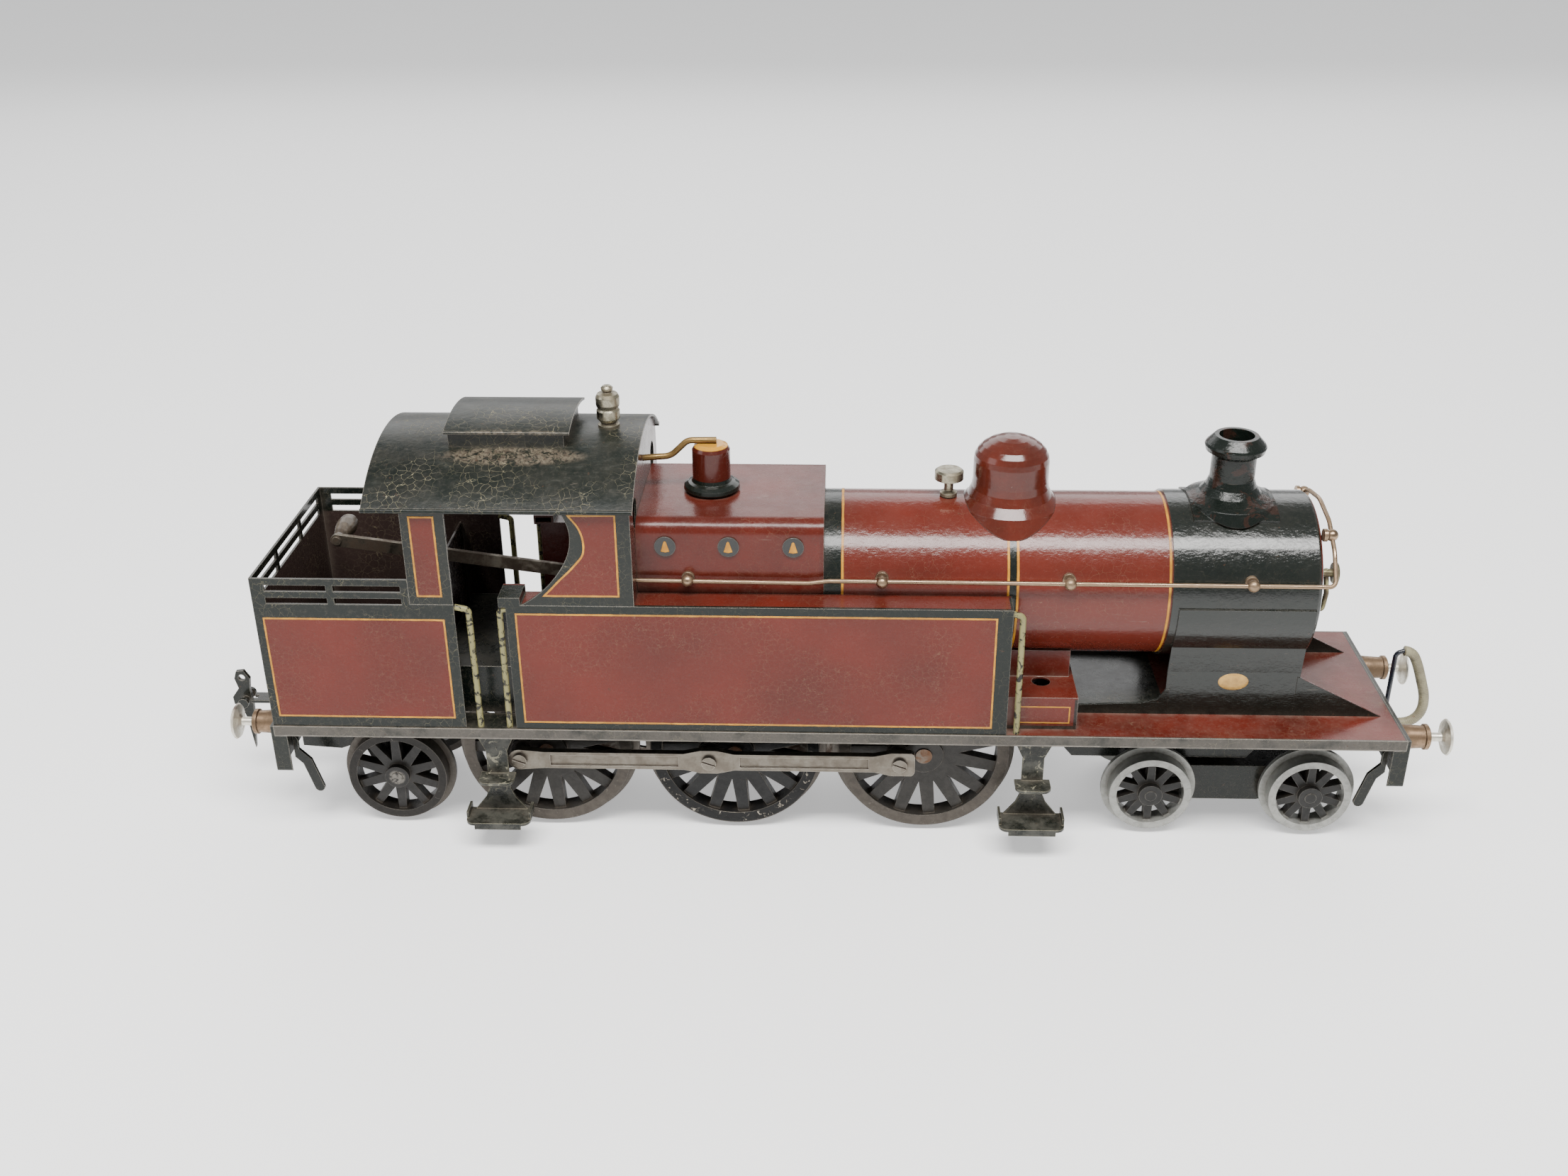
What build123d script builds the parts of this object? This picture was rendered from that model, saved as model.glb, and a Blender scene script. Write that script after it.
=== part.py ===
from build123d import *
import math
import os

# Clockwork tin-plate tank locomotive for 45 mm track, in millimetres.
# +X is the smokebox end, -Y the near side, +Z up.
# Sizes along X below are measured from the middle of the footplate. Each node is saved with its
# origin on the floor under the middle of the overall length. The wheel flanges touch Z = 0.

# ---- track and sheet metal -------------------------------------------------
FLANGE_DEPTH = 2.3          # flange height below the tread
BACK_TO_BACK = 40.0         # distance between the inner faces of a wheel pair
SHEET = 0.8                 # tinplate thickness
RUN_CLEARANCE = 0.05        # radial clearance of a shaft in its hole
GAP = 0.3                   # clearance between bodies that only pass each other

# ---- footplate -------------------------------------------------------------
FOOTPLATE_LENGTH = 394.0
FOOTPLATE_WIDTH = 80.0
FOOTPLATE_TOP = 49.0
VALANCE_DEPTH = 4.0
BEAM_HEIGHT = 19.0
BEAM_THICKNESS = 1.2

# ---- wheels ----------------------------------------------------------------
DRIVER_RADIUS = 30.5
DRIVER_SPACING = 67.8
MIDDLE_DRIVER_X = -35.5
DRIVER_SPOKES = 15
TRAILING_RADIUS = 18.0
TRAILING_X = -159.4
TRAILING_SPOKES = 10
BOGIE_RADIUS = 14.7
BOGIE_AXLE_X = (114.4, 171.4)
BOGIE_SPOKES = 10
TYRE_WIDTH = 5.4
FLANGE_WIDTH = 1.6
DRIVER_AXLE_RADIUS = 3.0
SMALL_AXLE_RADIUS = 2.0
CRANK_THROW = 8.8
CRANK_PIN_RADIUS = 2.0

# ---- superstructure --------------------------------------------------------
BODY_HALF_WIDTH = 39.4
TANK_TOP = 97.5
TANK_REAR_X = -110.8
TANK_FRONT_X = 59.7
BUNKER_REAR_X = -FOOTPLATE_LENGTH / 2
CAB_REAR_X = -143.2
CAB_POST_FRONT_X = -128.4
CAB_FRONT_X = -68.0
SIDE_PLATE_TOP = 131.6
RAIL_TOP = 106.7
ROOF_RADIUS = 66.0
ROOF_CREST = 147.2
ROOF_HALF_WIDTH = 41.0
ROOF_REAR_X = -155.3
ROOF_FRONT_X = -65.9
FIREBOX_FRONT_X = -3.8
FIREBOX_TOP = 123.7
FIREBOX_HALF_WIDTH = 28.0
FIREBOX_SHOULDER = 5.3
FIREBOX_BOTTOM = 68.0
BOILER_RADIUS = 28.5
BOILER_AXIS_Z = 93.6
SMOKEBOX_RADIUS = 29.3
SMOKEBOX_REAR_X = 114.0
SMOKEBOX_FRONT_X = 162.5
SADDLE_HALF_WIDTH = 23.3
SADDLE_REAR_X = 116.5
CHIMNEY_X = 136.0
CHIMNEY_TOP = 145.4
CHIMNEY_BORE = 5.9
DOME_X = 60.3
DOME_TOP = 144.5
DOME_RADIUS = 13.0
COLUMN_X = -43.3
COLUMN_TOP = 141.0
HANDRAIL_RADIUS = 0.75
HANDRAIL_Y = 31.0
HANDRAIL_Z = 103.3
HANDRAIL_KNOB_X = (-49.8, 15.9, 79.0, 139.8)
THUMB_SCREW_X = 39.1

# ---- buffers and couplings -------------------------------------------------
BUFFER_Y = 24.85
BUFFER_Z = 41.7
BUFFER_REACH = 18.5         # beam face to head face
BUFFER_STROKE = 3.0
BUFFER_SHANK_RADIUS = 1.6
BUFFER_HEAD_RADIUS = 6.5
HOOK_PIVOT_RADIUS = 1.2

# ---- clockwork -------------------------------------------------------------
MECHANISM_HALF_WIDTH = 15.0
MECHANISM_PLATE = 1.2
GEAR_MODULE = 1.0
GREAT_WHEEL_TEETH = 54
GREAT_WHEEL_Z = 75.0
SECOND_PINION_TEETH = 10
SECOND_WHEEL_TEETH = 30
AXLE_PINION_TEETH = 16
GOVERNOR_PINION_TEETH = 8
GOVERNOR_ANGLE = 20.0
ARBOR_RADIUS = 2.0
PIVOT_RADIUS = 1.2
WINDING_SQUARE = 2.6        # across the flats of the arbor's squared end
WINDING_HOLE_RADIUS = 4.5
SPRING_TURNS = 7
SPRING_STRIP = 0.6
SPRING_WIDTH = 14.0

# ---- bogie -----------------------------------------------------------------
BOGIE_PIVOT_X = 95.7
BOGIE_PLATE_Z = 24.0
BOGIE_HALF_WIDTH = 18.0

# ---- winding crank ---------------------------------------------------------
CRANK_LENGTH = 96.0
CRANK_BAR_HEIGHT = 4.6
CRANK_BAR_THICKNESS = 1.6
CRANK_GRIP_X = -180.3
CRANK_GRIP_Z = 100.6
CRANK_Y = 5.0
CRANK_DROP_DEGREES = 7.8
GRIP_LENGTH = 18.0

# ---- derived values --------------------------------------------------------
WHEEL_INNER_Y = BACK_TO_BACK / 2
WHEEL_FACE_Y = WHEEL_INNER_Y + FLANGE_WIDTH + TYRE_WIDTH
DRIVER_Z = DRIVER_RADIUS + FLANGE_DEPTH
TRAILING_Z = TRAILING_RADIUS + FLANGE_DEPTH
BOGIE_Z = BOGIE_RADIUS + FLANGE_DEPTH
FRONT_DRIVER_X = MIDDLE_DRIVER_X + DRIVER_SPACING
REAR_DRIVER_X = MIDDLE_DRIVER_X - DRIVER_SPACING
FRAME_TOP = FOOTPLATE_TOP - SHEET
HALF_LENGTH = FOOTPLATE_LENGTH / 2
BEAM_FACE_X = HALF_LENGTH + BEAM_THICKNESS
ROD_INNER_Y = WHEEL_FACE_Y + 4.6
ROD_THICKNESS = 2.6
PIN_HEAD_Y = ROD_INNER_Y + ROD_THICKNESS + 0.15
PIN_HEAD_DEPTH = 1.1
STEP_PLANE_Y = PIN_HEAD_Y + PIN_HEAD_DEPTH + GAP + SHEET
WHEEL_SIDE_GAP = 1.4        # between a wheel's face and the tank's inner wall
TANK_INNER_Y = max(BOILER_RADIUS, FIREBOX_HALF_WIDTH, WHEEL_FACE_Y + WHEEL_SIDE_GAP) + 0.1


# ---- drawing helpers -------------------------------------------------------
def block(x_low, x_high, y_low, y_high, z_low, z_high):
    """A rectangular block between two corners."""
    size = Box(x_high - x_low, y_high - y_low, z_high - z_low)
    return Pos((x_low + x_high) / 2, (y_low + y_high) / 2, (z_low + z_high) / 2) * size


def rod_along_x(x_low, x_high, y, z, radius):
    """A round bar parallel to X."""
    return Pos((x_low + x_high) / 2, y, z) * Rot(0, 90, 0) * Cylinder(radius, x_high - x_low)


def rod_along_y(x, y_low, y_high, z, radius):
    """A round bar parallel to Y."""
    return Pos(x, (y_low + y_high) / 2, z) * Rot(90, 0, 0) * Cylinder(radius, y_high - y_low)


def rod_along_z(x, y, z_low, z_high, radius):
    """A round bar parallel to Z."""
    return Pos(x, y, (z_low + z_high) / 2) * Cylinder(radius, z_high - z_low)


def outline(points):
    """A flat face inside straight edges."""
    return make_face(Polyline(*points, close=True))


def plate_across_y(face, y_low, y_high):
    """Thicken a face drawn in X and Z between two Y values."""
    plane = Plane(origin=(0, y_high, 0), x_dir=(1, 0, 0), z_dir=(0, -1, 0))
    return extrude(plane * face, amount=y_high - y_low)


def plate_across_x(face, x_low, x_high):
    """Thicken a face drawn in Y and Z between two X values."""
    plane = Plane(origin=(x_low, 0, 0), x_dir=(0, 1, 0), z_dir=(1, 0, 0))
    return extrude(plane * face, amount=x_high - x_low)


def plate_across_z(face, z_low, z_high):
    """Thicken a face drawn in X and Y between two Z values."""
    return extrude(Pos(0, 0, z_low) * face, amount=z_high - z_low)


def turned(profile):
    """A solid of revolution about Z from (radius, height) points."""
    plane_face = Plane.XZ * outline(profile)
    return revolve(plane_face, axis=Axis.Z)


def upright(profile, x, y=0.0):
    """A turned piece standing on a vertical axis."""
    return Pos(x, y, 0) * turned(profile)


def turned_along_x(profile, x, y, z, facing=1):
    """A turned piece whose axis points along X, towards +X or -X."""
    return Pos(x, y, z) * Rot(0, 90 * facing, 0) * turned(profile)


def wire(points, radii, section):
    """A round wire bent at each inner point of its route."""
    path = FilletPolyline(*points, radius=radii)
    start = Plane(origin=path @ 0, z_dir=path % 0)
    return sweep(start * Circle(section), path=path)


def mirrored(shape):
    """The same piece on the other side of the locomotive."""
    return mirror(shape, about=Plane.XZ)


def both_sides(shape):
    """A piece and its twin on the other side."""
    return [shape, mirrored(shape)]


def single(shape):
    """The one solid that a set of joined or cut shapes leaves."""
    solids = shape.solids()
    return max(solids, key=lambda piece: piece.volume)


def write(name, *shapes):
    """Save one node, as one solid or as a group of alike solids."""
    solids = [Pos(-OVERALL_MIDDLE_X, 0, 0) * piece for shape in shapes for piece in shape.solids()]
    node = solids[0] if len(solids) == 1 else Compound(children=solids)
    export_step(node, "parts/" + name + ".step")


# ---- gears -----------------------------------------------------------------
def gear(teeth, width, phase_degrees=0.0):
    """A spur gear on the Y axis, centred on the origin, with backlash in its teeth."""
    pitch_radius = GEAR_MODULE * teeth / 2
    tip_radius = pitch_radius + 0.85 * GEAR_MODULE
    root_radius = pitch_radius - 1.15 * GEAR_MODULE
    base_radius = pitch_radius * math.cos(math.radians(20))
    backlash = 0.16 * GEAR_MODULE
    half_pitch_angle = (math.pi * GEAR_MODULE / 4 - backlash / 2) / pitch_radius

    def involute(radius):
        pressure = math.acos(min(1.0, base_radius / radius))
        return math.tan(pressure) - pressure

    def half_angle(radius):
        return half_pitch_angle + involute(pitch_radius) - involute(max(radius, base_radius))

    steps = 4
    low_radius = max(base_radius, root_radius)
    radii = [low_radius + (tip_radius - low_radius) * k / steps for k in range(steps + 1)]
    points = []
    for tooth in range(teeth):
        middle = 2 * math.pi * tooth / teeth + math.radians(phase_degrees)
        rising = [(root_radius, -half_angle(low_radius))]
        rising += [(radius, -half_angle(radius)) for radius in radii]
        falling = [(radius, -angle) for radius, angle in reversed(rising)]
        for radius, angle in rising + falling:
            point = (radius * math.cos(middle + angle), radius * math.sin(middle + angle))
            if not points or math.dist(point, points[-1]) > 1e-4:
                points.append(point)
    return plate_across_y(outline(points), -width / 2, width / 2)


def lightened(wheel, teeth, arms, rim, hub_radius, width):
    """Cut a gear wheel's web into arms."""
    outer = GEAR_MODULE * teeth / 2 - rim
    window = Circle(outer) - Circle(hub_radius)
    arm_width = 4.0
    for k in range(arms):
        window -= Rot(0, 0, 180.0 * k / arms) * Rectangle(4 * outer, arm_width)
    return wheel - plate_across_y(window, -width, width)


# ---- wheels and axles ------------------------------------------------------
def cast_wheel(radius, axle_radius, hub_radius, spokes, crank_angle=None):
    """A spoked wheel for the near side, centred on the origin, with its face towards -Y."""
    inner = -WHEEL_INNER_Y
    outer = -WHEEL_FACE_Y
    rim_inner = radius - 0.1 * radius - 1.2
    tread = rod_along_y(0, outer, inner, 0, radius)
    flange = rod_along_y(0, inner - FLANGE_WIDTH, inner, 0, radius + FLANGE_DEPTH)
    rim = tread + flange - rod_along_y(0, outer - 1, inner + 1, 0, rim_inner)
    hub_outer = outer - 0.9
    wheel = rim + rod_along_y(0, hub_outer, inner, 0, hub_radius)
    spoke_reach = rim_inner + 0.8
    near_hub = 0.085 * radius + 0.5
    near_rim = 0.055 * radius + 0.4
    for k in range(spokes):
        taper = [(0, -near_hub), (spoke_reach, -near_rim), (spoke_reach, near_rim), (0, near_hub)]
        spoke = plate_across_y(outline(taper), outer + 1.4, inner - 1.6)
        wheel += Rot(0, 360.0 / spokes * (k + 0.5), 0) * spoke
    if crank_angle is not None:
        boss = CRANK_PIN_RADIUS + 2.4
        wheel += rod_along_y(-CRANK_THROW, hub_outer, inner - 1.0, 0, boss)
        neck = block(-CRANK_THROW, 0, hub_outer, inner - 1.0, -boss * 0.8, boss * 0.8)
        wheel += neck
        wheel -= rod_along_y(-CRANK_THROW, hub_outer - 1, inner + 1, 0, CRANK_PIN_RADIUS)
        wheel = Rot(0, crank_angle, 0) * wheel
    return single(wheel - rod_along_y(0, outer - 5, inner + 1, 0, axle_radius))


def wheel_pair(radius, axle_radius, hub_radius, spokes, x, z, cranked=False):
    """Two wheels of an axle; on driving axles the far crank stands a quarter turn on."""
    near = cast_wheel(radius, axle_radius, hub_radius, spokes, 0.0 if cranked else None)
    far = cast_wheel(radius, axle_radius, hub_radius, spokes, 90.0 if cranked else None)
    return Pos(x, 0, z) * near, Pos(x, 0, z) * mirrored(far)


def plain_axle(x, z, radius, reach):
    """A straight axle with a journal right through."""
    return rod_along_y(x, -reach, reach, z, radius)


def crank_pin(x, z, side):
    """A slotted shoulder screw in the wheel boss, with its head outside the rod."""
    root = WHEEL_INNER_Y + 1.0
    head_inner = PIN_HEAD_Y
    head_outer = head_inner + PIN_HEAD_DEPTH
    shank = rod_along_y(x, -head_inner, -root, z, CRANK_PIN_RADIUS)
    collar = rod_along_y(x, -ROD_INNER_Y + 0.15, -WHEEL_FACE_Y - 0.9, z, CRANK_PIN_RADIUS + 1.4)
    head = rod_along_y(x, -head_outer, -head_inner, z, 2.6)
    slot = Pos(x, -head_outer, z) * Rot(0, 20, 0) * Box(6, 1.0, 0.7)
    screw = shank + collar + head - slot
    return screw if side < 0 else mirrored(screw)


def crank_pins(axle_x):
    """The near pin points backwards and the far pin points up."""
    near = crank_pin(axle_x - CRANK_THROW, DRIVER_Z, -1)
    far = crank_pin(axle_x, DRIVER_Z + CRANK_THROW, 1)
    return near, far


def coupling_rod():
    """The near rod: three bosses joined by a fluted bar, with its front end squared off."""
    pins = [x - CRANK_THROW for x in (REAR_DRIVER_X, MIDDLE_DRIVER_X, FRONT_DRIVER_X)]
    y_low = -ROD_INNER_Y - ROD_THICKNESS
    y_high = -ROD_INNER_Y
    bar_half = 3.3
    boss_half = 4.7
    taper = 9.0
    end_half = 4.1
    upper = [(pins[0], end_half), (pins[0] + taper, bar_half)]
    upper += [(pins[1] - taper, bar_half), (pins[1] - 3, boss_half)]
    upper += [(pins[1] + 3, boss_half), (pins[1] + taper, bar_half)]
    upper += [(pins[2] - taper, bar_half), (pins[2] - 3, boss_half)]
    upper += [(pins[2] + 4.2, boss_half), (pins[2] + 5.0, boss_half - 0.6)]
    upper += [(pins[2] + 5.4, boss_half - 1.6)]
    lower = [(x, -height) for x, height in reversed(upper)]
    face = outline(upper + lower) + Pos(pins[0], 0) * Circle(end_half)
    rod = plate_across_y(face, y_low, y_high)
    for start, end in ((pins[0], pins[1]), (pins[1], pins[2])):
        flute = block(start + 11, end - 11, y_low - 1, y_low + 0.6, -2.1, 2.1)
        rod -= flute
    for x in pins:
        rod -= rod_along_y(x, y_low - 1, y_high + 1, 0, CRANK_PIN_RADIUS + RUN_CLEARANCE)
    return Pos(0, 0, DRIVER_Z) * rod


def far_coupling_rod():
    """The far rod stands a quarter turn on, over its axles."""
    return Pos(CRANK_THROW, 0, CRANK_THROW) * mirrored(coupling_rod())


# ---- chassis ---------------------------------------------------------------
def footplate():
    """The top sheet with its turned-down edges and the openings for wheels and clockwork."""
    half_width = FOOTPLATE_WIDTH / 2
    tray = block(-HALF_LENGTH, HALF_LENGTH, -half_width, half_width,
                 FOOTPLATE_TOP - VALANCE_DEPTH, FOOTPLATE_TOP)
    tray -= block(-HALF_LENGTH + SHEET, HALF_LENGTH - SHEET, -half_width + SHEET,
                  half_width - SHEET, 0, FRAME_TOP)
    rise = FRAME_TOP - DRIVER_Z
    half_chord = math.sqrt((DRIVER_RADIUS + FLANGE_DEPTH) ** 2 - rise ** 2) + 1.0
    for x in (REAR_DRIVER_X, MIDDLE_DRIVER_X, FRONT_DRIVER_X):
        for side in (-1, 1):
            low, high = sorted((side * (WHEEL_INNER_Y - 1), side * (WHEEL_FACE_Y + 2)))
            tray -= block(x - half_chord, x + half_chord, low, high, 0, FOOTPLATE_TOP + 1)
    opening = MECHANISM_HALF_WIDTH + MECHANISM_PLATE + 1.2
    tray -= block(REAR_DRIVER_X - 12, FRONT_DRIVER_X + 12, -opening, opening,
                  0, FOOTPLATE_TOP + 1)
    return single(tray)


def buffer_beam():
    """The front beam, with its ends turned back; the rear beam is its mirror."""
    half_width = FOOTPLATE_WIDTH / 2
    bottom = FOOTPLATE_TOP - BEAM_HEIGHT
    beam = block(HALF_LENGTH, BEAM_FACE_X, -half_width, half_width, bottom, FOOTPLATE_TOP)
    end = block(HALF_LENGTH - 4.3, HALF_LENGTH, -half_width, -half_width + SHEET, bottom,
                FOOTPLATE_TOP - VALANCE_DEPTH)
    beam += end + mirrored(end)
    for side in (-1, 1):
        beam -= rod_along_x(HALF_LENGTH - 1, BEAM_FACE_X + 1, side * BUFFER_Y, BUFFER_Z,
                            BUFFER_SHANK_RADIUS + 0.6)
    corners = beam.edges().filter_by(Axis.X).group_by(Axis.Z)[0]
    corners = [edge for edge in corners if abs(abs(edge.center().Y) - half_width) < 0.1]
    return single(fillet(corners, 1.4))


def mechanism_plate():
    """The near side plate that carries the driving axles and the gear arbors."""
    y_low = -MECHANISM_HALF_WIDTH - MECHANISM_PLATE
    y_high = -MECHANISM_HALF_WIDTH
    low = DRIVER_Z - 9
    corners = [(REAR_DRIVER_X - 10, low), (FRONT_DRIVER_X + 10, low),
               (FRONT_DRIVER_X + 10, FRAME_TOP + 4), (GOVERNOR_X + 7, FRAME_TOP + 10),
               (FIREBOX_FRONT_X - 3, FIREBOX_BOTTOM - 6), (FIREBOX_FRONT_X - 3, GREAT_WHEEL_Z + 4),
               (MIDDLE_DRIVER_X + 8, GREAT_WHEEL_Z + 35), (MIDDLE_DRIVER_X - 8, GREAT_WHEEL_Z + 35),
               (MIDDLE_DRIVER_X - 30, GREAT_WHEEL_Z), (MIDDLE_DRIVER_X - 30, FRAME_TOP + 8),
               (REAR_DRIVER_X - 10, FRAME_TOP + 4)]
    plate = plate_across_y(outline(corners), y_low, y_high)
    for x in (REAR_DRIVER_X, MIDDLE_DRIVER_X, FRONT_DRIVER_X):
        plate -= rod_along_y(x, y_low - 1, y_high + 1, DRIVER_Z, DRIVER_AXLE_RADIUS + RUN_CLEARANCE)
    for x, z in ((SECOND_X, SECOND_Z), (GOVERNOR_X, GOVERNOR_Z)):
        plate -= rod_along_y(x, y_low - 1, y_high + 1, z, PIVOT_RADIUS + RUN_CLEARANCE)
    plate -= rod_along_y(MIDDLE_DRIVER_X, y_low - 1, y_high + 1, GREAT_WHEEL_Z,
                         ARBOR_RADIUS + RUN_CLEARANCE)
    for x, z in PILLARS:
        plate -= rod_along_y(x, y_low - 1, y_high + 1, z, 1.5)
    for x in ((REAR_DRIVER_X + MIDDLE_DRIVER_X) / 2, (FRONT_DRIVER_X + MIDDLE_DRIVER_X) / 2 + 8):
        plate -= rod_along_y(x, y_low - 1, y_high + 1, DRIVER_Z, 5.5)
    return single(plate)


def mechanism_pillar(x, z):
    """A turned spacer between the two side plates, riveted over at both ends."""
    reach = MECHANISM_HALF_WIDTH + MECHANISM_PLATE + 0.8
    middle = rod_along_y(x, -MECHANISM_HALF_WIDTH, MECHANISM_HALF_WIDTH, z, 2.6)
    ends = rod_along_y(x, -reach, reach, z, 1.5)
    return middle + ends


def mainspring():
    """The coiled spring strip between its arbor and the outer pillar."""
    start_radius = ARBOR_RADIUS + 1.5
    pitch = (20.0 - start_radius) / SPRING_TURNS
    turns = None
    for k in range(2 * SPRING_TURNS):
        middle_radius = start_radius + pitch * (k + 0.5) / 2
        shift = pitch / 4 if k % 2 == 0 else -pitch / 4
        ring = Pos(shift, 0) * (Circle(middle_radius + SPRING_STRIP / 2)
                                - Circle(middle_radius - SPRING_STRIP / 2))
        half = Pos(0, 100 if k % 2 == 0 else -100) * Rectangle(200, 200)
        arc = ring & half
        turns = arc if turns is None else turns + arc
    coil = plate_across_y(turns, -SPRING_WIDTH / 2, SPRING_WIDTH / 2)
    return single(Pos(MIDDLE_DRIVER_X, 4.0, GREAT_WHEEL_Z) * coil)


def great_wheel():
    """The first wheel of the train."""
    width = 2.0
    wheel = lightened(gear(GREAT_WHEEL_TEETH, width, GREAT_PHASE), GREAT_WHEEL_TEETH, 3, 4.0,
                      7.0, width)
    wheel -= rod_along_y(0, -width, width, 0, ARBOR_RADIUS)
    return Pos(MIDDLE_DRIVER_X, GREAT_WHEEL_Y, GREAT_WHEEL_Z) * wheel


def spring_arbor():
    """The arbor that the spring winds on, with a ratchet wheel and a squared end."""
    reach = MECHANISM_HALF_WIDTH + MECHANISM_PLATE + 1.0
    arbor = rod_along_y(0, -reach, reach, 0, ARBOR_RADIUS)
    ratchet = []
    teeth = 16
    for k in range(teeth):
        turn = 2 * math.pi / teeth
        ratchet.append((7.0 * math.cos(k * turn), 7.0 * math.sin(k * turn)))
        ratchet.append((5.6 * math.cos((k + 0.08) * turn), 5.6 * math.sin((k + 0.08) * turn)))
    face = plate_across_y(outline(ratchet), GREAT_WHEEL_Y - 2.6, GREAT_WHEEL_Y - 1.0)
    half = WINDING_SQUARE / 2
    square = block(-half, half, reach, BODY_HALF_WIDTH - SHEET - 0.6, -half, half)
    return Pos(MIDDLE_DRIVER_X, 0, GREAT_WHEEL_Z) * (arbor + face + square)


def second_wheel():
    """Pinion, arbor and wheel that pass the drive from the great wheel to the axle."""
    reach = MECHANISM_HALF_WIDTH + MECHANISM_PLATE
    arbor = rod_along_y(0, -reach, reach, 0, PIVOT_RADIUS)
    arbor += rod_along_y(0, -MECHANISM_HALF_WIDTH + 0.4, MECHANISM_HALF_WIDTH - 0.4, 0, 2.2)
    pinion = Pos(0, GREAT_WHEEL_Y, 0) * gear(SECOND_PINION_TEETH, 3.2, SECOND_PINION_PHASE)
    wheel = lightened(gear(SECOND_WHEEL_TEETH, 1.6, SECOND_WHEEL_PHASE), SECOND_WHEEL_TEETH, 3,
                      3.4, 4.6, 1.6)
    wheel = Pos(0, SECOND_WHEEL_Y, 0) * wheel
    return single(Pos(SECOND_X, 0, SECOND_Z) * (arbor + pinion + wheel))


def governor():
    """The speed governor: a small pinion with a two-armed fly."""
    reach = MECHANISM_HALF_WIDTH + MECHANISM_PLATE
    arbor = rod_along_y(0, -reach, reach, 0, PIVOT_RADIUS)
    pinion = Pos(0, SECOND_WHEEL_Y, 0) * gear(GOVERNOR_PINION_TEETH, 3.0, GOVERNOR_PHASE)
    fly = block(-5.6, 5.6, 6.0, 8.0, -1.8, 1.8)
    weights = rod_along_y(-4.2, 5.0, 9.0, 0, 1.7) + rod_along_y(4.2, 5.0, 9.0, 0, 1.7)
    return single(Pos(GOVERNOR_X, 0, GOVERNOR_Z) * (arbor + pinion + fly + weights))


def driving_axle(x, with_pinion):
    """A driving axle; the middle one carries the pinion that the clockwork turns."""
    axle = plain_axle(x, DRIVER_Z, DRIVER_AXLE_RADIUS, WHEEL_FACE_Y + 1.4)
    if with_pinion:
        pinion = gear(AXLE_PINION_TEETH, 3.2, AXLE_PINION_PHASE)
        axle += Pos(x, SECOND_WHEEL_Y, DRIVER_Z) * pinion
    return single(axle)


def front_frame():
    """The near frame plate over the bogie, from the cylinders to the front beam."""
    y_low = -14.8
    end = HALF_LENGTH - SHEET
    face = outline([(84, FRAME_TOP), (84, 29), (87, 25.5), (150, 25.5), (158, 36),
                    (HALF_LENGTH - 22, 36), (HALF_LENGTH - 16, 31), (end, 31), (end, FRAME_TOP)])
    return plate_across_y(face, y_low, y_low + SHEET)


def trailing_frame():
    """One folded bracket that carries the trailing axle between two cheeks."""
    half = 17.5
    rear = -HALF_LENGTH + SHEET
    face = outline([(rear, FRAME_TOP), (rear, 27), (-182, 26), (-174, 29), (-169, 16),
                    (-163, 12.5), (-156, 12.5), (-150, 16), (-144, 32), (-136, 36),
                    (-136, FRAME_TOP)])
    cheek = plate_across_y(face, -half, -half + 1.0)
    cheek -= rod_along_y(TRAILING_X, -half - 1, -half + 2, TRAILING_Z,
                         SMALL_AXLE_RADIUS + RUN_CLEARANCE)
    web = block(-182, -172, -half + 0.5, half - 0.5, 38, 39)
    strap = block(-146, -138, -half + 0.5, half - 0.5, 40, 41)
    return single(cheek + mirrored(cheek) + web + strap)


def bogie_frame():
    """A bent channel with an arm back to its pivot; it swings under the smokebox."""
    top = BOGIE_PLATE_Z
    first, last = BOGIE_AXLE_X
    half = BOGIE_HALF_WIDTH
    deck = block(first - 5, last + 5, -half, half, top - 1.0, top)
    arm = block(BOGIE_PIVOT_X, first, -7, 7, top - 1.0, top)
    arm += rod_along_z(BOGIE_PIVOT_X, 0, top - 1.0, top, 7)
    middle = (first + last) / 2
    points = [(first - 5, top), (first - 5, 14), (first - 2, 12.5), (first + 6, 12.5)]
    points += [(middle - 12, 9.7), (middle + 12, 9.7), (last - 6, 12.5), (last + 2, 12.5)]
    points += [(last + 5, 14), (last + 5, top)]
    cheek = plate_across_y(outline(points), -half, -half + 1.0)
    for x in BOGIE_AXLE_X:
        cheek -= rod_along_y(x, -half - 1, -half + 2, BOGIE_Z, SMALL_AXLE_RADIUS + RUN_CLEARANCE)
    frame = deck + arm + cheek + mirrored(cheek)
    frame -= rod_along_z(BOGIE_PIVOT_X, 0, 0, top + 1, 2.0 + RUN_CLEARANCE)
    return single(frame)


def bogie_pivot():
    """A shouldered rivet through the bogie arm, hung from a bracket under the footplate."""
    top = BOGIE_PLATE_Z
    pin = rod_along_z(BOGIE_PIVOT_X, 0, top - 2.4, FRAME_TOP, 2.0)
    pin += rod_along_z(BOGIE_PIVOT_X, 0, top - 2.6, top - 1.3, 4.0)
    pin += rod_along_z(BOGIE_PIVOT_X, 0, top + 0.3, FRAME_TOP, 4.2)
    return pin


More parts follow.
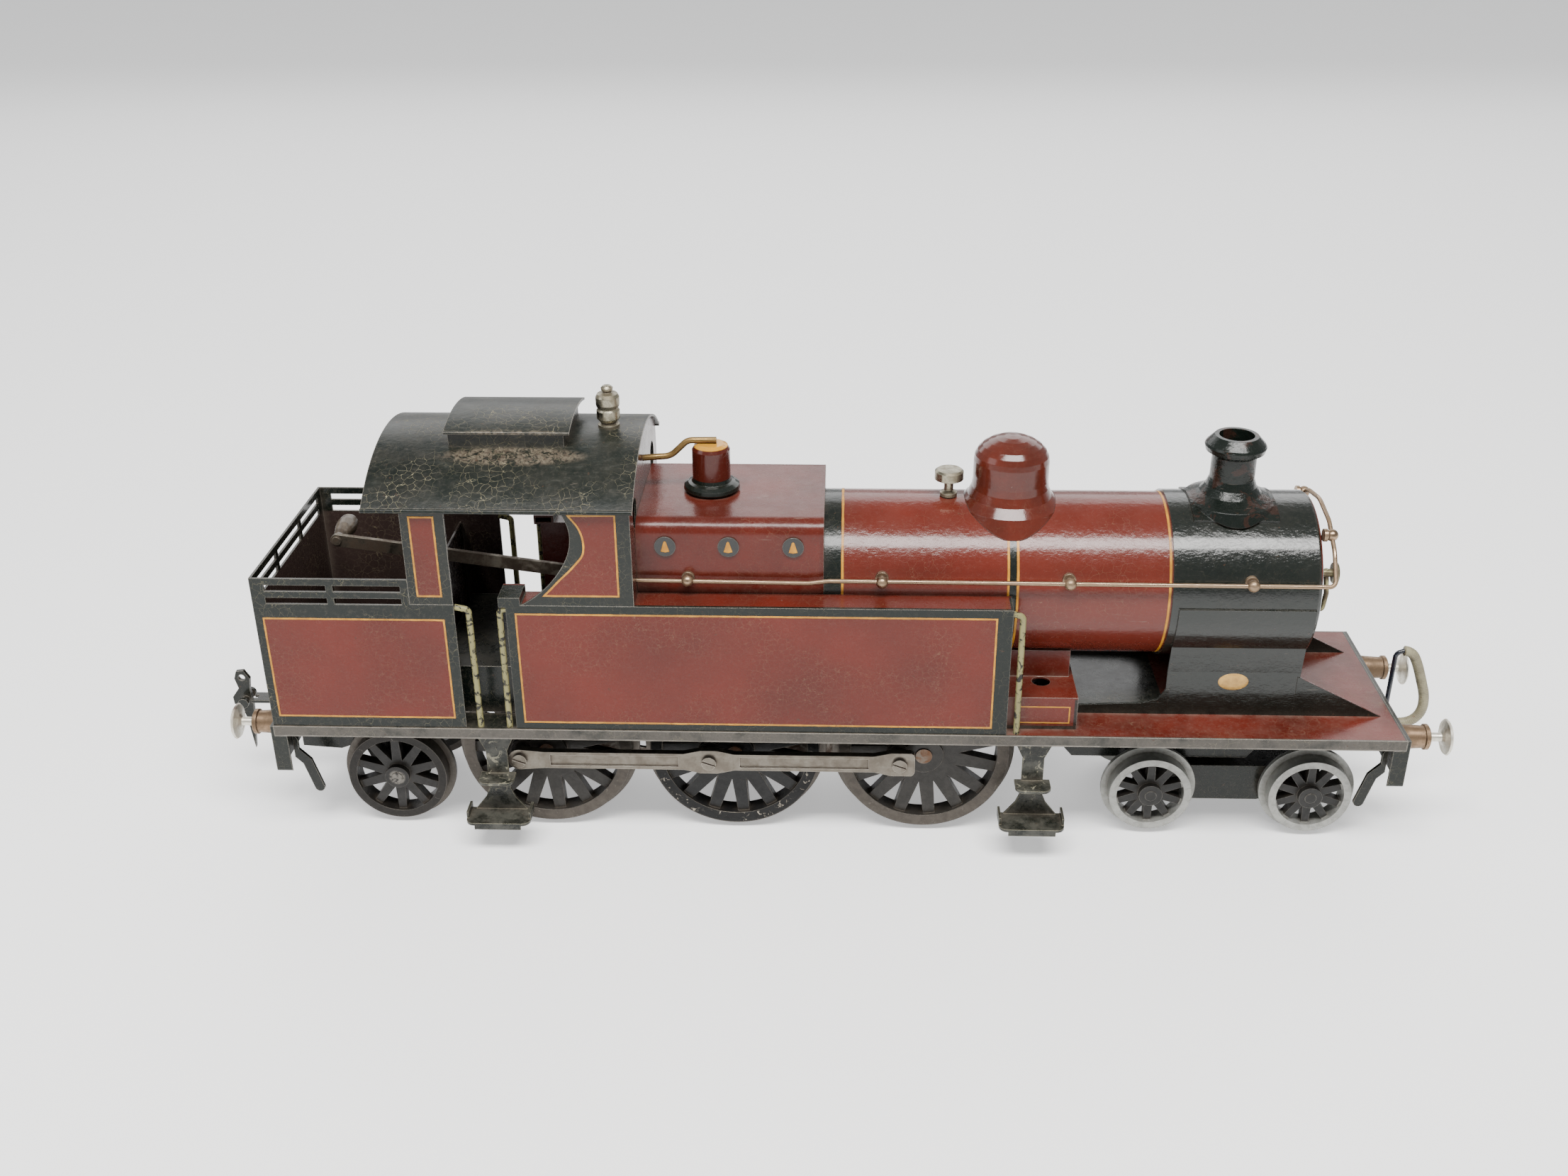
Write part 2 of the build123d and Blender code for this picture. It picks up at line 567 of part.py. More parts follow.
def footstep(x, low, depth):
    """A hanging step: a waisted strip with a small upper tread and a dished lower tread."""
    y = -STEP_PLANE_Y
    neck = 3.8
    face = outline([(x - 8.5, FRAME_TOP), (x - neck, 38), (x - neck, low + 9), (x - 5.4, low + 5),
                    (x - 9.3, low), (x + 9.3, low), (x + 5.4, low + 5), (x + neck, low + 9),
                    (x + neck, 38), (x + 8.5, FRAME_TOP)])
    strip = plate_across_y(face, y, y + SHEET)
    width = 23.0
    tread = block(x - width / 2, x + width / 2, y - depth, y + SHEET, low - 1.0, low)
    edges = tread.edges().filter_by(Axis.Z).group_by(Axis.Y)[0]
    tread = fillet(edges, 3.0)
    for side in (-1, 1):
        edge_x = x + side * (width / 2 - SHEET / 2)
        tread += block(edge_x - SHEET / 2, edge_x + SHEET / 2, y - depth + 3.2, y + SHEET,
                       low - 0.5, low + 2.6)
    tread += block(x - width / 2 + 3.2, x + width / 2 - 3.2, y - depth, y - depth + SHEET,
                   low - 2.6, low - 0.5)
    ledge = block(x - 6.2, x + 6.2, y - 7.0, y + SHEET, 27.6, 28.6)
    ledge_edges = ledge.edges().filter_by(Axis.Z).group_by(Axis.Y)[0]
    ledge = fillet(ledge_edges, 3.0)
    return single(strip + tread + ledge)


def guard_iron():
    """A front guard iron: a cranked strip behind the beam, in line with the rail."""
    y = -27.0
    top = HALF_LENGTH - 1.0
    centre = [(top, 35.6), (top, 31.0), (top - 4.2, 26.5), (top - 7.3, 15.5)]
    face = None
    for start, end in zip(centre, centre[1:]):
        length = math.dist(start, end)
        angle = math.degrees(math.atan2(end[1] - start[1], end[0] - start[0]))
        bar = Pos((start[0] + end[0]) / 2, (start[1] + end[1]) / 2) * Rot(0, 0, angle)
        piece = bar * SlotCenterToCenter(length, 3.6)
        face = piece if face is None else face + piece
    strip = plate_across_y(face, y - 0.6, y + 0.6)
    strip -= block(top, HALF_LENGTH + 9, -40, 0, 0, 60)
    return single(strip)


# ---- superstructure --------------------------------------------------------
def side_tank():
    """The near tank: one folded sheet with its ends closed against the boiler."""
    outer = -BODY_HALF_WIDTH
    inner = -TANK_INNER_Y
    over_wheel = DRIVER_Z + DRIVER_RADIUS - 8.0
    tank = block(TANK_REAR_X, TANK_FRONT_X, outer, inner, FOOTPLATE_TOP, TANK_TOP)
    tank -= block(TANK_REAR_X + SHEET, TANK_FRONT_X - SHEET, outer + SHEET, inner + 1,
                  FOOTPLATE_TOP - 1, TANK_TOP - SHEET)
    inner_wall = block(TANK_REAR_X, CAB_FRONT_X - SHEET, inner - SHEET, inner, FOOTPLATE_TOP,
                       TANK_TOP)
    front = block(TANK_FRONT_X - SHEET, TANK_FRONT_X, inner, -20.0, over_wheel, BOILER_AXIS_Z)
    front -= rod_along_x(TANK_FRONT_X - 2, TANK_FRONT_X + 1, 0, BOILER_AXIS_Z,
                         BOILER_RADIUS + 0.05)
    lip = block(TANK_REAR_X - 2.4, TANK_REAR_X + 5.0, outer, inner, TANK_TOP, TANK_TOP + 2.8)
    lip -= block(TANK_REAR_X - 1.6, TANK_REAR_X + 4.2, outer + SHEET, inner + 1, TANK_TOP - 1,
                 TANK_TOP + 2.0)
    lip_floor = block(TANK_REAR_X - 2.4, TANK_REAR_X, outer, inner, TANK_TOP - SHEET, TANK_TOP)
    return single(tank + inner_wall + front + lip + lip_floor)


def far_side_tank():
    """The far tank, with the hole through which the clockwork is wound."""
    hole = rod_along_y(MIDDLE_DRIVER_X, BODY_HALF_WIDTH - 2, BODY_HALF_WIDTH + 2, GREAT_WHEEL_Z,
                       WINDING_HOLE_RADIUS)
    return mirrored(side_tank()) - hole


def bunker():
    """The coal bunker with the two pierced rails round its top edge."""
    half = BODY_HALF_WIDTH
    front = CAB_REAR_X
    walls = block(BUNKER_REAR_X, front, -half, half, FOOTPLATE_TOP, RAIL_TOP)
    inside = block(BUNKER_REAR_X + SHEET, front + 1, -half + SHEET, half - SHEET,
                   FOOTPLATE_TOP - 1, RAIL_TOP + 1)
    walls -= inside
    crank_under = along_crank(front - CRANK_GRIP_X, -CRANK_BAR_HEIGHT / 2)[1]
    front_wall = block(front - SHEET, front, -half + SHEET / 2, half - SHEET / 2, FOOTPLATE_TOP,
                       crank_under - 0.4)
    rear_skirt = block(front, CAB_POST_FRONT_X, -half, -half + SHEET, FOOTPLATE_TOP, TANK_TOP)
    slots = []
    for low, high in ((97.2, 99.5), (101.9, 104.2)):
        side_posts = (BUNKER_REAR_X + 3.5, -170.0, CAB_REAR_X - 1.5)
        for start, end in zip(side_posts, side_posts[1:]):
            slots.append(block(start + 1.2, end - 1.2, -half - 1, half + 1, low, high))
        rear_posts = (-half + 3.5, -half / 3, half / 3, half - 3.5)
        for start, end in zip(rear_posts, rear_posts[1:]):
            slots.append(block(BUNKER_REAR_X - 1, BUNKER_REAR_X + 2, start + 1.2, end - 1.2,
                               low, high))
    for slot in slots:
        walls -= slot
    return single(walls + front_wall + rear_skirt + mirrored(rear_skirt))


def roof_face(radius, half_width, thickness):
    """The section of an arched sheet with its crown on the roof crest."""
    centre = ROOF_CREST - ROOF_RADIUS
    ring = Pos(0, centre) * (Circle(radius) - Circle(radius - thickness))
    window = Pos(0, centre + radius) * Rectangle(2 * half_width, radius)
    return ring & window


def cab_roof():
    """The arched roof with a beaded eave on each side."""
    roof = plate_across_x(roof_face(ROOF_RADIUS, ROOF_HALF_WIDTH, SHEET), ROOF_REAR_X,
                          ROOF_FRONT_X)
    centre = ROOF_CREST - ROOF_RADIUS
    eave_z = centre + math.sqrt(ROOF_RADIUS ** 2 - ROOF_HALF_WIDTH ** 2) - SHEET / 2
    for side in (-1, 1):
        roof += rod_along_x(ROOF_REAR_X, ROOF_FRONT_X, side * ROOF_HALF_WIDTH, eave_z, 0.8)
    return single(roof)


def cab_shell():
    """Both cab sides and the front sheet with its two round windows."""
    half = BODY_HALF_WIDTH
    under_roof = ROOF_RADIUS - SHEET
    centre = ROOF_CREST - ROOF_RADIUS
    side_top = centre + math.sqrt(under_roof ** 2 - half ** 2)
    upper_corner = (CAB_FRONT_X - 23.3, side_top)
    lower_corner = (CAB_FRONT_X - 37.7, TANK_TOP)
    sweep_back = Spline(upper_corner, (CAB_FRONT_X - 19.4, 122.4), (CAB_FRONT_X - 24.5, 109.0),
                        lower_corner)
    base = Line(lower_corner, (CAB_FRONT_X, TANK_TOP))
    front_edge = Line((CAB_FRONT_X, TANK_TOP), (CAB_FRONT_X, side_top))
    top_edge = Line((CAB_FRONT_X, side_top), upper_corner)
    panel = plate_across_y(make_face(sweep_back + base + front_edge + top_edge), -half,
                           -half + SHEET)
    post = block(CAB_REAR_X, CAB_POST_FRONT_X, -half, -half + SHEET, TANK_TOP, side_top)
    sheet = outline([(-half, TANK_TOP), (half, TANK_TOP), (half, side_top), (-half, side_top)])
    crown = Pos(0, centre) * Circle(under_roof)
    above = Pos(0, side_top + 20) * Rectangle(2 * half, 40)
    sheet += crown & above
    for side in (-1, 1):
        sheet -= Pos(side * 26.0, 126.0) * Circle(5.2)
    front = plate_across_x(sheet, CAB_FRONT_X, CAB_FRONT_X + SHEET)
    return [single(front + panel + mirrored(panel)), post, mirrored(post)]


def cab_floor():
    """The raised floor box over the rear driving wheels, with a notched rest for the crank."""
    half = TANK_INNER_Y - 0.4
    top = CAB_FLOOR_TOP
    box = block(CAB_REAR_X + 4, CAB_FRONT_X, -half, half, FOOTPLATE_TOP, top)
    box -= block(CAB_REAR_X + 4 + SHEET, CAB_FRONT_X + 1, -half + SHEET, half - SHEET,
                 FOOTPLATE_TOP - 1, top - SHEET)
    opening = MECHANISM_HALF_WIDTH + MECHANISM_PLATE + 0.4
    box -= block(CAB_FRONT_X - 18.0, CAB_FRONT_X + 1, -opening, opening, top - 2 * SHEET, top + 1)
    x, under_bar = along_crank(CRANK_LENGTH - 8.0, -CRANK_BAR_HEIGHT / 2)
    rest = block(x - 0.6, x + 0.6, CRANK_Y - 3.4, CRANK_Y + 3.4, top - SHEET, under_bar + 2.0)
    slot_half = CRANK_BAR_THICKNESS / 2 + GAP
    rest -= block(x - 1, x + 1, CRANK_Y - slot_half, CRANK_Y + slot_half, under_bar - 0.4,
                  under_bar + 4)
    return single(box + rest)


def ventilator_box():
    """The upstand of the roof ventilator, cut to sit on the arched roof."""
    half = 15.8
    x_low = -130.5
    x_high = -91.3
    box = block(x_low, x_high, -half, half, 140, 153.5)
    box -= block(x_low + SHEET, x_high - SHEET, -half + SHEET, half - SHEET, 139, 155)
    centre = ROOF_CREST - ROOF_RADIUS
    box -= rod_along_x(x_low - 1, x_high + 1, 0, centre, ROOF_RADIUS)
    return single(box - ventilator_cover(10.0))


def ventilator_cover(thickness):
    """A shallow arched plate; a thick one trims the box under the lid."""
    radius = 62.5
    crest = 153.6
    centre = crest - radius
    if thickness > 1:
        ring = Pos(0, centre) * (Circle(radius + thickness) - Circle(radius - SHEET))
    else:
        ring = Pos(0, centre) * (Circle(radius) - Circle(radius - thickness))
    window = Pos(0, centre + radius) * Rectangle(2 * 17.5, radius)
    return plate_across_x(ring & window, -131.5, -89.0)


def roof_whistle():
    """A turned nickel whistle: foot, two rounded drums with a groove between, small cap."""
    base = ROOF_CREST - 0.8
    profile = [(0, base), (3.7, base), (3.7, base + 1.6), (2.6, base + 2.2), (3.2, base + 2.8),
               (4.0, base + 3.8), (4.0, base + 6.6), (3.6, base + 7.2), (3.5, base + 7.6),
               (3.9, base + 8.0), (4.1, base + 8.8), (4.1, base + 11.4), (3.5, base + 12.5),
               (1.8, base + 12.9), (1.4, base + 13.2), (2.0, base + 13.8), (2.1, base + 14.6),
               (1.4, base + 15.3), (0, base + 15.6)]
    whistle = upright(profile, -78.2)
    roof_axis_z = ROOF_CREST - ROOF_RADIUS
    return single(whistle - rod_along_x(-90, -66, 0, roof_axis_z, ROOF_RADIUS))


def firebox():
    """The square-shouldered firebox sheet, closed at the front round the boiler."""
    half = FIREBOX_HALF_WIDTH
    rear = CAB_FRONT_X + SHEET
    solid = block(rear, FIREBOX_FRONT_X, -half, half, FIREBOX_BOTTOM, FIREBOX_TOP)
    top_edges = solid.edges().filter_by(Axis.X).group_by(Axis.Z)[-1]
    solid = fillet(top_edges, FIREBOX_SHOULDER)
    hollow = block(rear - 1, FIREBOX_FRONT_X - SHEET, -half + SHEET, half - SHEET,
                   FIREBOX_BOTTOM - 1, FIREBOX_TOP - SHEET)
    inner_edges = hollow.edges().filter_by(Axis.X).group_by(Axis.Z)[-1]
    hollow = fillet(inner_edges, FIREBOX_SHOULDER - SHEET)
    shell = solid - hollow
    shell -= rod_along_x(FIREBOX_FRONT_X - 2, FIREBOX_FRONT_X + 1, 0, BOILER_AXIS_Z,
                         BOILER_RADIUS - 4)
    shell -= rod_along_y(MIDDLE_DRIVER_X, half - 2, half + 1, GREAT_WHEEL_Z, WINDING_HOLE_RADIUS)
    return single(shell)


def washout_plugs():
    """Three round plugs on each firebox side."""
    plugs = []
    for x in (-57.3, -35.9, -14.1):
        plugs += both_sides(rod_along_y(x, -FIREBOX_HALF_WIDTH - 0.6, -FIREBOX_HALF_WIDTH,
                                        114.8, 3.6))
    return plugs


def boiler():
    """The boiler barrel, a rolled tube."""
    tube = rod_along_x(FIREBOX_FRONT_X, SMOKEBOX_REAR_X + 6, 0, BOILER_AXIS_Z, BOILER_RADIUS)
    tube -= rod_along_x(FIREBOX_FRONT_X - 1, SMOKEBOX_REAR_X + 7, 0, BOILER_AXIS_Z,
                        BOILER_RADIUS - SHEET)
    tube -= rod_along_z(THUMB_SCREW_X, 0, BOILER_AXIS_Z, 140, 1.5 + RUN_CLEARANCE)
    return single(tube)


def smokebox():
    """The smokebox wrapper: round above, drawn in to the narrow saddle below."""
    outer = SMOKEBOX_RADIUS
    inner = BOILER_RADIUS + 0.02
    ring = Pos(0, BOILER_AXIS_Z) * (Circle(outer) - Circle(inner))
    wrapper = plate_across_x(ring, SMOKEBOX_REAR_X, SMOKEBOX_FRONT_X)
    flue = rod_along_z(CHIMNEY_X, 0, BOILER_AXIS_Z, CHIMNEY_TOP, CHIMNEY_BORE + 0.6)
    return single(wrapper - flue)


def saddle_cheek():
    """The near side of the saddle sheet, with its low strip behind and wing in front."""
    drop = math.radians(35)
    foot_z = FOOTPLATE_TOP
    outer = SMOKEBOX_RADIUS + SHEET
    start = (-outer * math.cos(0), BOILER_AXIS_Z)
    tangent = (-outer * math.cos(drop), BOILER_AXIS_Z - outer * math.sin(drop))
    bend = (-SADDLE_HALF_WIDTH, 66.0)
    bottom = (-SADDLE_HALF_WIDTH - 0.4, foot_z)
    middle = (-outer * math.cos(drop / 2), BOILER_AXIS_Z - outer * math.sin(drop / 2))
    outer_arc = ThreePointArc(start, middle, tangent)
    lines = outer_arc + Polyline(tangent, bend, bottom)
    inner_start = (start[0] + SHEET, start[1])
    inner_tangent = (tangent[0] + SHEET * math.cos(drop), tangent[1] + SHEET * math.sin(drop))
    inner_middle = (middle[0] + SHEET * math.cos(drop / 2), middle[1] + SHEET * math.sin(drop / 2))
    inner_bend = (bend[0] + SHEET, bend[1] + 0.3)
    inner_bottom = (bottom[0] + SHEET, foot_z)
    lines += Line(bottom, inner_bottom)
    lines += Polyline(inner_bottom, inner_bend, inner_tangent)
    lines += ThreePointArc(inner_tangent, inner_middle, inner_start) + Line(inner_start, start)
    cheek = plate_across_x(make_face(lines), SADDLE_REAR_X, SMOKEBOX_FRONT_X)
    upright_y = (bottom[0], bottom[0] + SHEET)
    strip = outline([(TANK_FRONT_X + 26.8, foot_z), (TANK_FRONT_X + 26.8, 52.4),
                     (SADDLE_REAR_X - 8, 53.4), (SADDLE_REAR_X - 2.6, 54.9),
                     (SADDLE_REAR_X, 59.0), (SADDLE_REAR_X + 1, 59.0),
                     (SADDLE_REAR_X + 1, foot_z)])
    wing = outline([(SMOKEBOX_FRONT_X - 1, foot_z), (SMOKEBOX_FRONT_X - 1, 64.4),
                    (SMOKEBOX_FRONT_X, 64.2), (SMOKEBOX_FRONT_X + 30, foot_z)])
    cheek += plate_across_y(strip, *upright_y) + plate_across_y(wing, *upright_y)
    return single(cheek)


def smokebox_front():
    """The dished front plate with a raised round door and the boss that holds its handle."""
    plane_x = SMOKEBOX_FRONT_X
    z = BOILER_AXIS_Z
    plate = turned([(0, 0), (BOILER_RADIUS, 0), (BOILER_RADIUS, 2.0), (SMOKEBOX_RADIUS, 2.0),
                    (SMOKEBOX_RADIUS - 0.7, 3.2), (SMOKEBOX_RADIUS - 2.2, 3.8), (23.0, 3.8),
                    (22.4, 4.8), (21.0, 5.3), (12.0, 6.3), (0, 6.8)])
    plate -= Pos(0, 0, -1) * Cylinder(1.5, 40)
    return Pos(plane_x - 2.0, 0, z) * Rot(0, 90, 0) * plate


def smokebox_base():
    """The sheet that closes the saddle under the smokebox door."""
    half = SADDLE_HALF_WIDTH - SHEET - 0.1
    low = outline([(-half - 0.3, FOOTPLATE_TOP), (half + 0.3, FOOTPLATE_TOP), (half, 66),
                   (half, 72), (-half, 72), (-half, 66)])
    circle = Pos(0, BOILER_AXIS_Z) * Circle(SMOKEBOX_RADIUS + 0.02)
    return single(plate_across_x(low - circle, SMOKEBOX_FRONT_X - SHEET, SMOKEBOX_FRONT_X))


def door_handle():
    """The door spindle with its disc and the hanging lever whose end turns back."""
    x = SMOKEBOX_FRONT_X
    z = BOILER_AXIS_Z
    spindle = rod_along_x(x - 5.0, x + 13.4, 0, z, 1.5 - RUN_CLEARANCE)
    collar = rod_along_x(x + 5.4, x + 9.0, 0, z, 2.8)
    disc = turned_along_x([(0, 0), (3.6, 0), (3.9, 0.6), (3.6, 1.6), (0, 2.2)], x + 13.0, 0, z)
    route = [(x + 10.6, 0, z + 1.4), (x + 12.0, 0, z - 8.0), (x + 11.4, 0, z - 14.2),
             (x + 7.6, 0, z - 15.2)]
    lever = wire(route, [4.0, 1.4], 0.9)
    nut = rod_along_x(x - 5.0, x - 3.2, 0, z, 3.0)
    return single(spindle + collar + disc + lever + nut)


def chimney():
    """The stove-pipe chimney on its flared foot, cut to the smokebox and open at the top."""
    top = CHIMNEY_TOP
    low = BOILER_AXIS_Z + SMOKEBOX_RADIUS - 9.0
    profile = [(CHIMNEY_BORE, low), (19.0, low), (15.5, 122.6), (10.5, 125.0), (8.6, 127.4),
               (7.6, 130.2), (7.5, 138.4), (8.1, 138.9), (9.9, 140.0), (10.4, 141.8),
               (10.0, 142.6), (7.4, top), (CHIMNEY_BORE, top)]
    stack = upright(profile, CHIMNEY_X)
    stack -= rod_along_x(CHIMNEY_X - 30, CHIMNEY_X + 30, 0, BOILER_AXIS_Z, SMOKEBOX_RADIUS + 0.7)
    saddle = Pos(0, BOILER_AXIS_Z) * (Circle(SMOKEBOX_RADIUS + 0.7) - Circle(SMOKEBOX_RADIUS))
    window = Pos(0, BOILER_AXIS_Z + SMOKEBOX_RADIUS) * Rectangle(2 * 14.5, 2 * 16)
    patch = plate_across_x(saddle & window, CHIMNEY_X - 14.5, CHIMNEY_X + 14.5)
    patch -= rod_along_z(CHIMNEY_X, 0, 100, 130, CHIMNEY_BORE)
    return single(stack + patch)


def dome():
    """The round-topped dome with its flared foot on the boiler."""
    low = BOILER_AXIS_Z + BOILER_RADIUS - 8.0
    crown = 8.5
    profile = [(0, low), (20.0, low), (17.4, 120.4), (14.6, 123.4), (DOME_RADIUS + 0.3, 126.4),
               (DOME_RADIUS, 129.0), (DOME_RADIUS, DOME_TOP - crown)]
    for step in range(1, 8):
        angle = math.radians(90 * step / 7)
        profile.append((DOME_RADIUS * math.cos(angle) if step < 7 else 0,
                        DOME_TOP - crown + crown * math.sin(angle)))
    body = upright(profile, DOME_X)
    return single(body - rod_along_x(DOME_X - 30, DOME_X + 30, 0, BOILER_AXIS_Z, BOILER_RADIUS))


def steam_column():
    """The short column on the firebox, with a thick ring at its foot."""
    top = COLUMN_TOP
    base = FIREBOX_TOP
    profile = [(0, base), (8.6, base), (9.8, base + 1.2), (9.6, base + 2.4), (8.2, base + 3.4),
               (7.0, base + 3.8), (6.6, base + 5.0), (6.6, top - 2.0), (5.8, top - 0.6), (4.4, top),
               (0, top)]
    return upright(profile, COLUMN_X)


def steam_pipe():
    """The bent pipe from the column's top back to the cab front."""
    start_z = COLUMN_TOP + 1.0
    route = [(COLUMN_X + 2.0, 0, start_z + 0.15), (COLUMN_X - 8.0, 0, start_z),
             (COLUMN_X - 14.0, 0, 136.2), (CAB_FRONT_X + SHEET + 0.05, 0, 135.4)]
    return wire(route, [4.0, 6.0], 1.1)


def thumb_screw():
    """The knurled filler screw, with its stem down through the boiler top."""
    top = 132.0
    profile = [(0, 116.0), (1.5, 116.0), (1.5, 122.4), (3.0, 122.4), (3.0, 123.6), (1.6, 124.4),
               (1.6, top - 3.4), (5.0, top - 3.4), (5.0, top - 0.6), (4.2, top), (0, top)]
    return upright(profile, THUMB_SCREW_X)


def handrail():
    """One wire along both sides and over the smokebox front."""
    y = HANDRAIL_Y
    z = HANDRAIL_Z
    x = SMOKEBOX_FRONT_X + 4.5
    near = [(CAB_FRONT_X + SHEET, -y, z), (-9.0, -y, z - 0.5), (-2.0, -y, z + 0.4), (x, -y, z)]
    arch = [(x, -24.4, z + 9.4), (x, -13.6, z + 16.4), (x, 0, z + 18.8), (x, 13.6, z + 16.4),
            (x, 24.4, z + 9.4)]
    far = [(px, -py, pz) for px, py, pz in reversed(near)]
    radii = [6.0, 6.0, 2.2, 8.0, 10.0, 14.0, 10.0, 8.0, 2.2, 6.0, 6.0]
    return wire(near + arch + far, radii, HANDRAIL_RADIUS)


def handrail_knobs():
    """Ball-headed pillars that carry the handrail."""
    knobs = []
    for x in HANDRAIL_KNOB_X:
        beside_firebox = x < FIREBOX_FRONT_X
        radius = SMOKEBOX_RADIUS if x > SMOKEBOX_REAR_X else BOILER_RADIUS
        reach = math.sqrt(radius ** 2 - (HANDRAIL_Z - BOILER_AXIS_Z) ** 2)
        foot = FIREBOX_HALF_WIDTH if beside_firebox else reach
        z = HANDRAIL_Z + 0.1
        stem = rod_along_y(x, -HANDRAIL_Y, -foot + 0.2, z, 0.9)
        disc = rod_along_y(x, -foot - 1.2, -foot + 0.2, z, 2.2)
        ball = Pos(x, -HANDRAIL_Y, z) * Sphere(2.1)
        knobs += both_sides(single(stem + disc + ball))
    x = SMOKEBOX_FRONT_X + 4.5
    y = 18.6
    z = HANDRAIL_Z + 13.4
    stem = rod_along_x(SMOKEBOX_FRONT_X + 1.6, x, -y, z, 0.9)
    disc = rod_along_x(SMOKEBOX_FRONT_X + 1.6, SMOKEBOX_FRONT_X + 2.8, -y, z, 2.2)
    ball = Pos(x, -y, z) * Sphere(2.1)
    knobs += both_sides(single(stem + disc + ball))
    return knobs


def grab_rails():
    """Three upright hand rails on each side: two at the doorway and one at the tank front."""
    rails = []
    y = -BODY_HALF_WIDTH + 1.4
    routes = [
        [(CAB_POST_FRONT_X, y, 96.0), (CAB_POST_FRONT_X + 4.6, y, 95.0),
         (CAB_POST_FRONT_X + 4.8, y, FOOTPLATE_TOP)],
        [(TANK_REAR_X, y, 95.6), (TANK_REAR_X - 2.4, y, 95.0),
         (TANK_REAR_X - 2.6, y, FOOTPLATE_TOP)],
        [(TANK_FRONT_X, y, 95.6), (TANK_FRONT_X + 3.4, y, 94.6),
         (TANK_FRONT_X + 3.6, y, FOOTPLATE_TOP)],
    ]
    for route in routes:
        rails += both_sides(wire(route, 1.6, 1.1))
    return rails


def cylinder_box():
    """The cross box in front of the tanks: wide and low outside, raised under the boiler."""
    rear = TANK_FRONT_X + 0.02
    front = TANK_FRONT_X + 24.6
    half = BODY_HALF_WIDTH - 4.4
    low = block(rear, front, -half, half, FOOTPLATE_TOP, 61.6)
    high = block(rear, front - 1.6, -20.0, 20.0, 61.0, 72.0)
    box = low + high - rod_along_x(rear - 1, front + 1, 0, BOILER_AXIS_Z, BOILER_RADIUS + 0.05)
    hollow = block(rear - 1, front - SHEET, -half + SHEET, half - SHEET, FOOTPLATE_TOP - 1, 60.8)
    box -= hollow
    for side in (-1, 1):
        box -= rod_along_z(TANK_FRONT_X + 12.9, side * 23.5, 60.6, 62, 3.2)
    return single(box)


# ---- buffers and couplings -------------------------------------------------
def buffer_housing():
    """The tapered guide of a front buffer, on the near side."""
    profile = [(0, 0), (4.9, 0), (4.9, 0.8), (4.5, 1.0), (4.0, 9.4), (4.6, 9.8), (4.6, 11.0),
               (4.0, 11.4), (0, 11.4)]
    body = turned(profile)
    bore = Pos(0, 0, 5) * Cylinder(BUFFER_SHANK_RADIUS + RUN_CLEARANCE, 40)
    return Pos(BEAM_FACE_X, -BUFFER_Y, BUFFER_Z) * Rot(0, 90, 0) * (body - bore)


def buffer_head():
    """A turned head on its shank, with the retaining collar behind the beam."""
    reach = BUFFER_REACH
    back = -BEAM_THICKNESS - SHEET - 2.0
    profile = [(0, back - 1.6), (2.6, back - 1.6), (2.6, back), (BUFFER_SHANK_RADIUS, back),
               (BUFFER_SHANK_RADIUS, reach - 2.6), (3.0, reach - 1.9),
               (BUFFER_HEAD_RADIUS - 0.4, reach - 1.2), (BUFFER_HEAD_RADIUS, reach - 0.7),
               (BUFFER_HEAD_RADIUS - 0.5, reach - 0.2), (3.0, reach), (0, reach)]
    return Pos(BEAM_FACE_X, -BUFFER_Y, BUFFER_Z) * Rot(0, 90, 0) * turned(profile)


def at_rear(shape):
    """The same piece turned round to the rear end."""
    return mirror(shape, about=Plane.YZ)


def hook_bracket():
    """The rear draw plate, with a bored eye at its end for the hook's pin."""
    beam = -BEAM_FACE_X
    plate = block(beam - 21.0, beam, -3.0, 3.0, 36.2, 37.4)
    eye = rod_along_y(HOOK_PIVOT_X, -3.0, 3.0, HOOK_PIVOT_Z, 2.6)
    eye -= rod_along_y(HOOK_PIVOT_X, -4.0, 4.0, HOOK_PIVOT_Z, HOOK_PIVOT_RADIUS + RUN_CLEARANCE)
    eye -= block(HOOK_PIVOT_X - 4, HOOK_PIVOT_X + 4.4, -1.1, 1.1, 30, 45)
    fixing = block(beam - 2.0, beam, -6.0, 6.0, 33.4, 40.4)
    plate -= block(HOOK_PIVOT_X - 4, HOOK_PIVOT_X + 4.4, -1.1, 1.1, 30, 45)
    plate -= rod_along_y(HOOK_PIVOT_X, -4.0, 4.0, HOOK_PIVOT_Z, HOOK_PIVOT_RADIUS + RUN_CLEARANCE)
    return single(plate + eye + fixing)


def coupling_hook():
    """The drop hook: a flat cheek with an upper loop, a nose and a long pointed tail."""
    x = HOOK_PIVOT_X
    z = HOOK_PIVOT_Z
    face = outline([(x + 2.2, z - 2.0), (x + 1.8, z + 4.0), (x + 2.4, z + 8.6), (x + 0.4, z + 12.0),
                    (x - 2.4, z + 11.6), (x - 3.4, z + 8.6), (x - 2.4, z + 4.4), (x - 5.2, z + 0.6),
                    (x - 5.0, z - 2.4), (x - 2.6, z - 3.4), (x - 1.2, z - 8.0), (x + 0.2, z - 21.8),
                    (x + 1.8, z - 8.0)])
    cheek = plate_across_y(face, -0.8, 0.8)
    cheek -= rod_along_y(x - 0.6, -2, 2, z + 9.0, 1.3)
    pin = rod_along_y(x, -4.2, 4.2, z, HOOK_PIVOT_RADIUS)
    pin += rod_along_y(x, -4.8, -3.5, z, 2.0) + rod_along_y(x, 3.5, 4.8, z, 2.0)
    return single(cheek + pin)


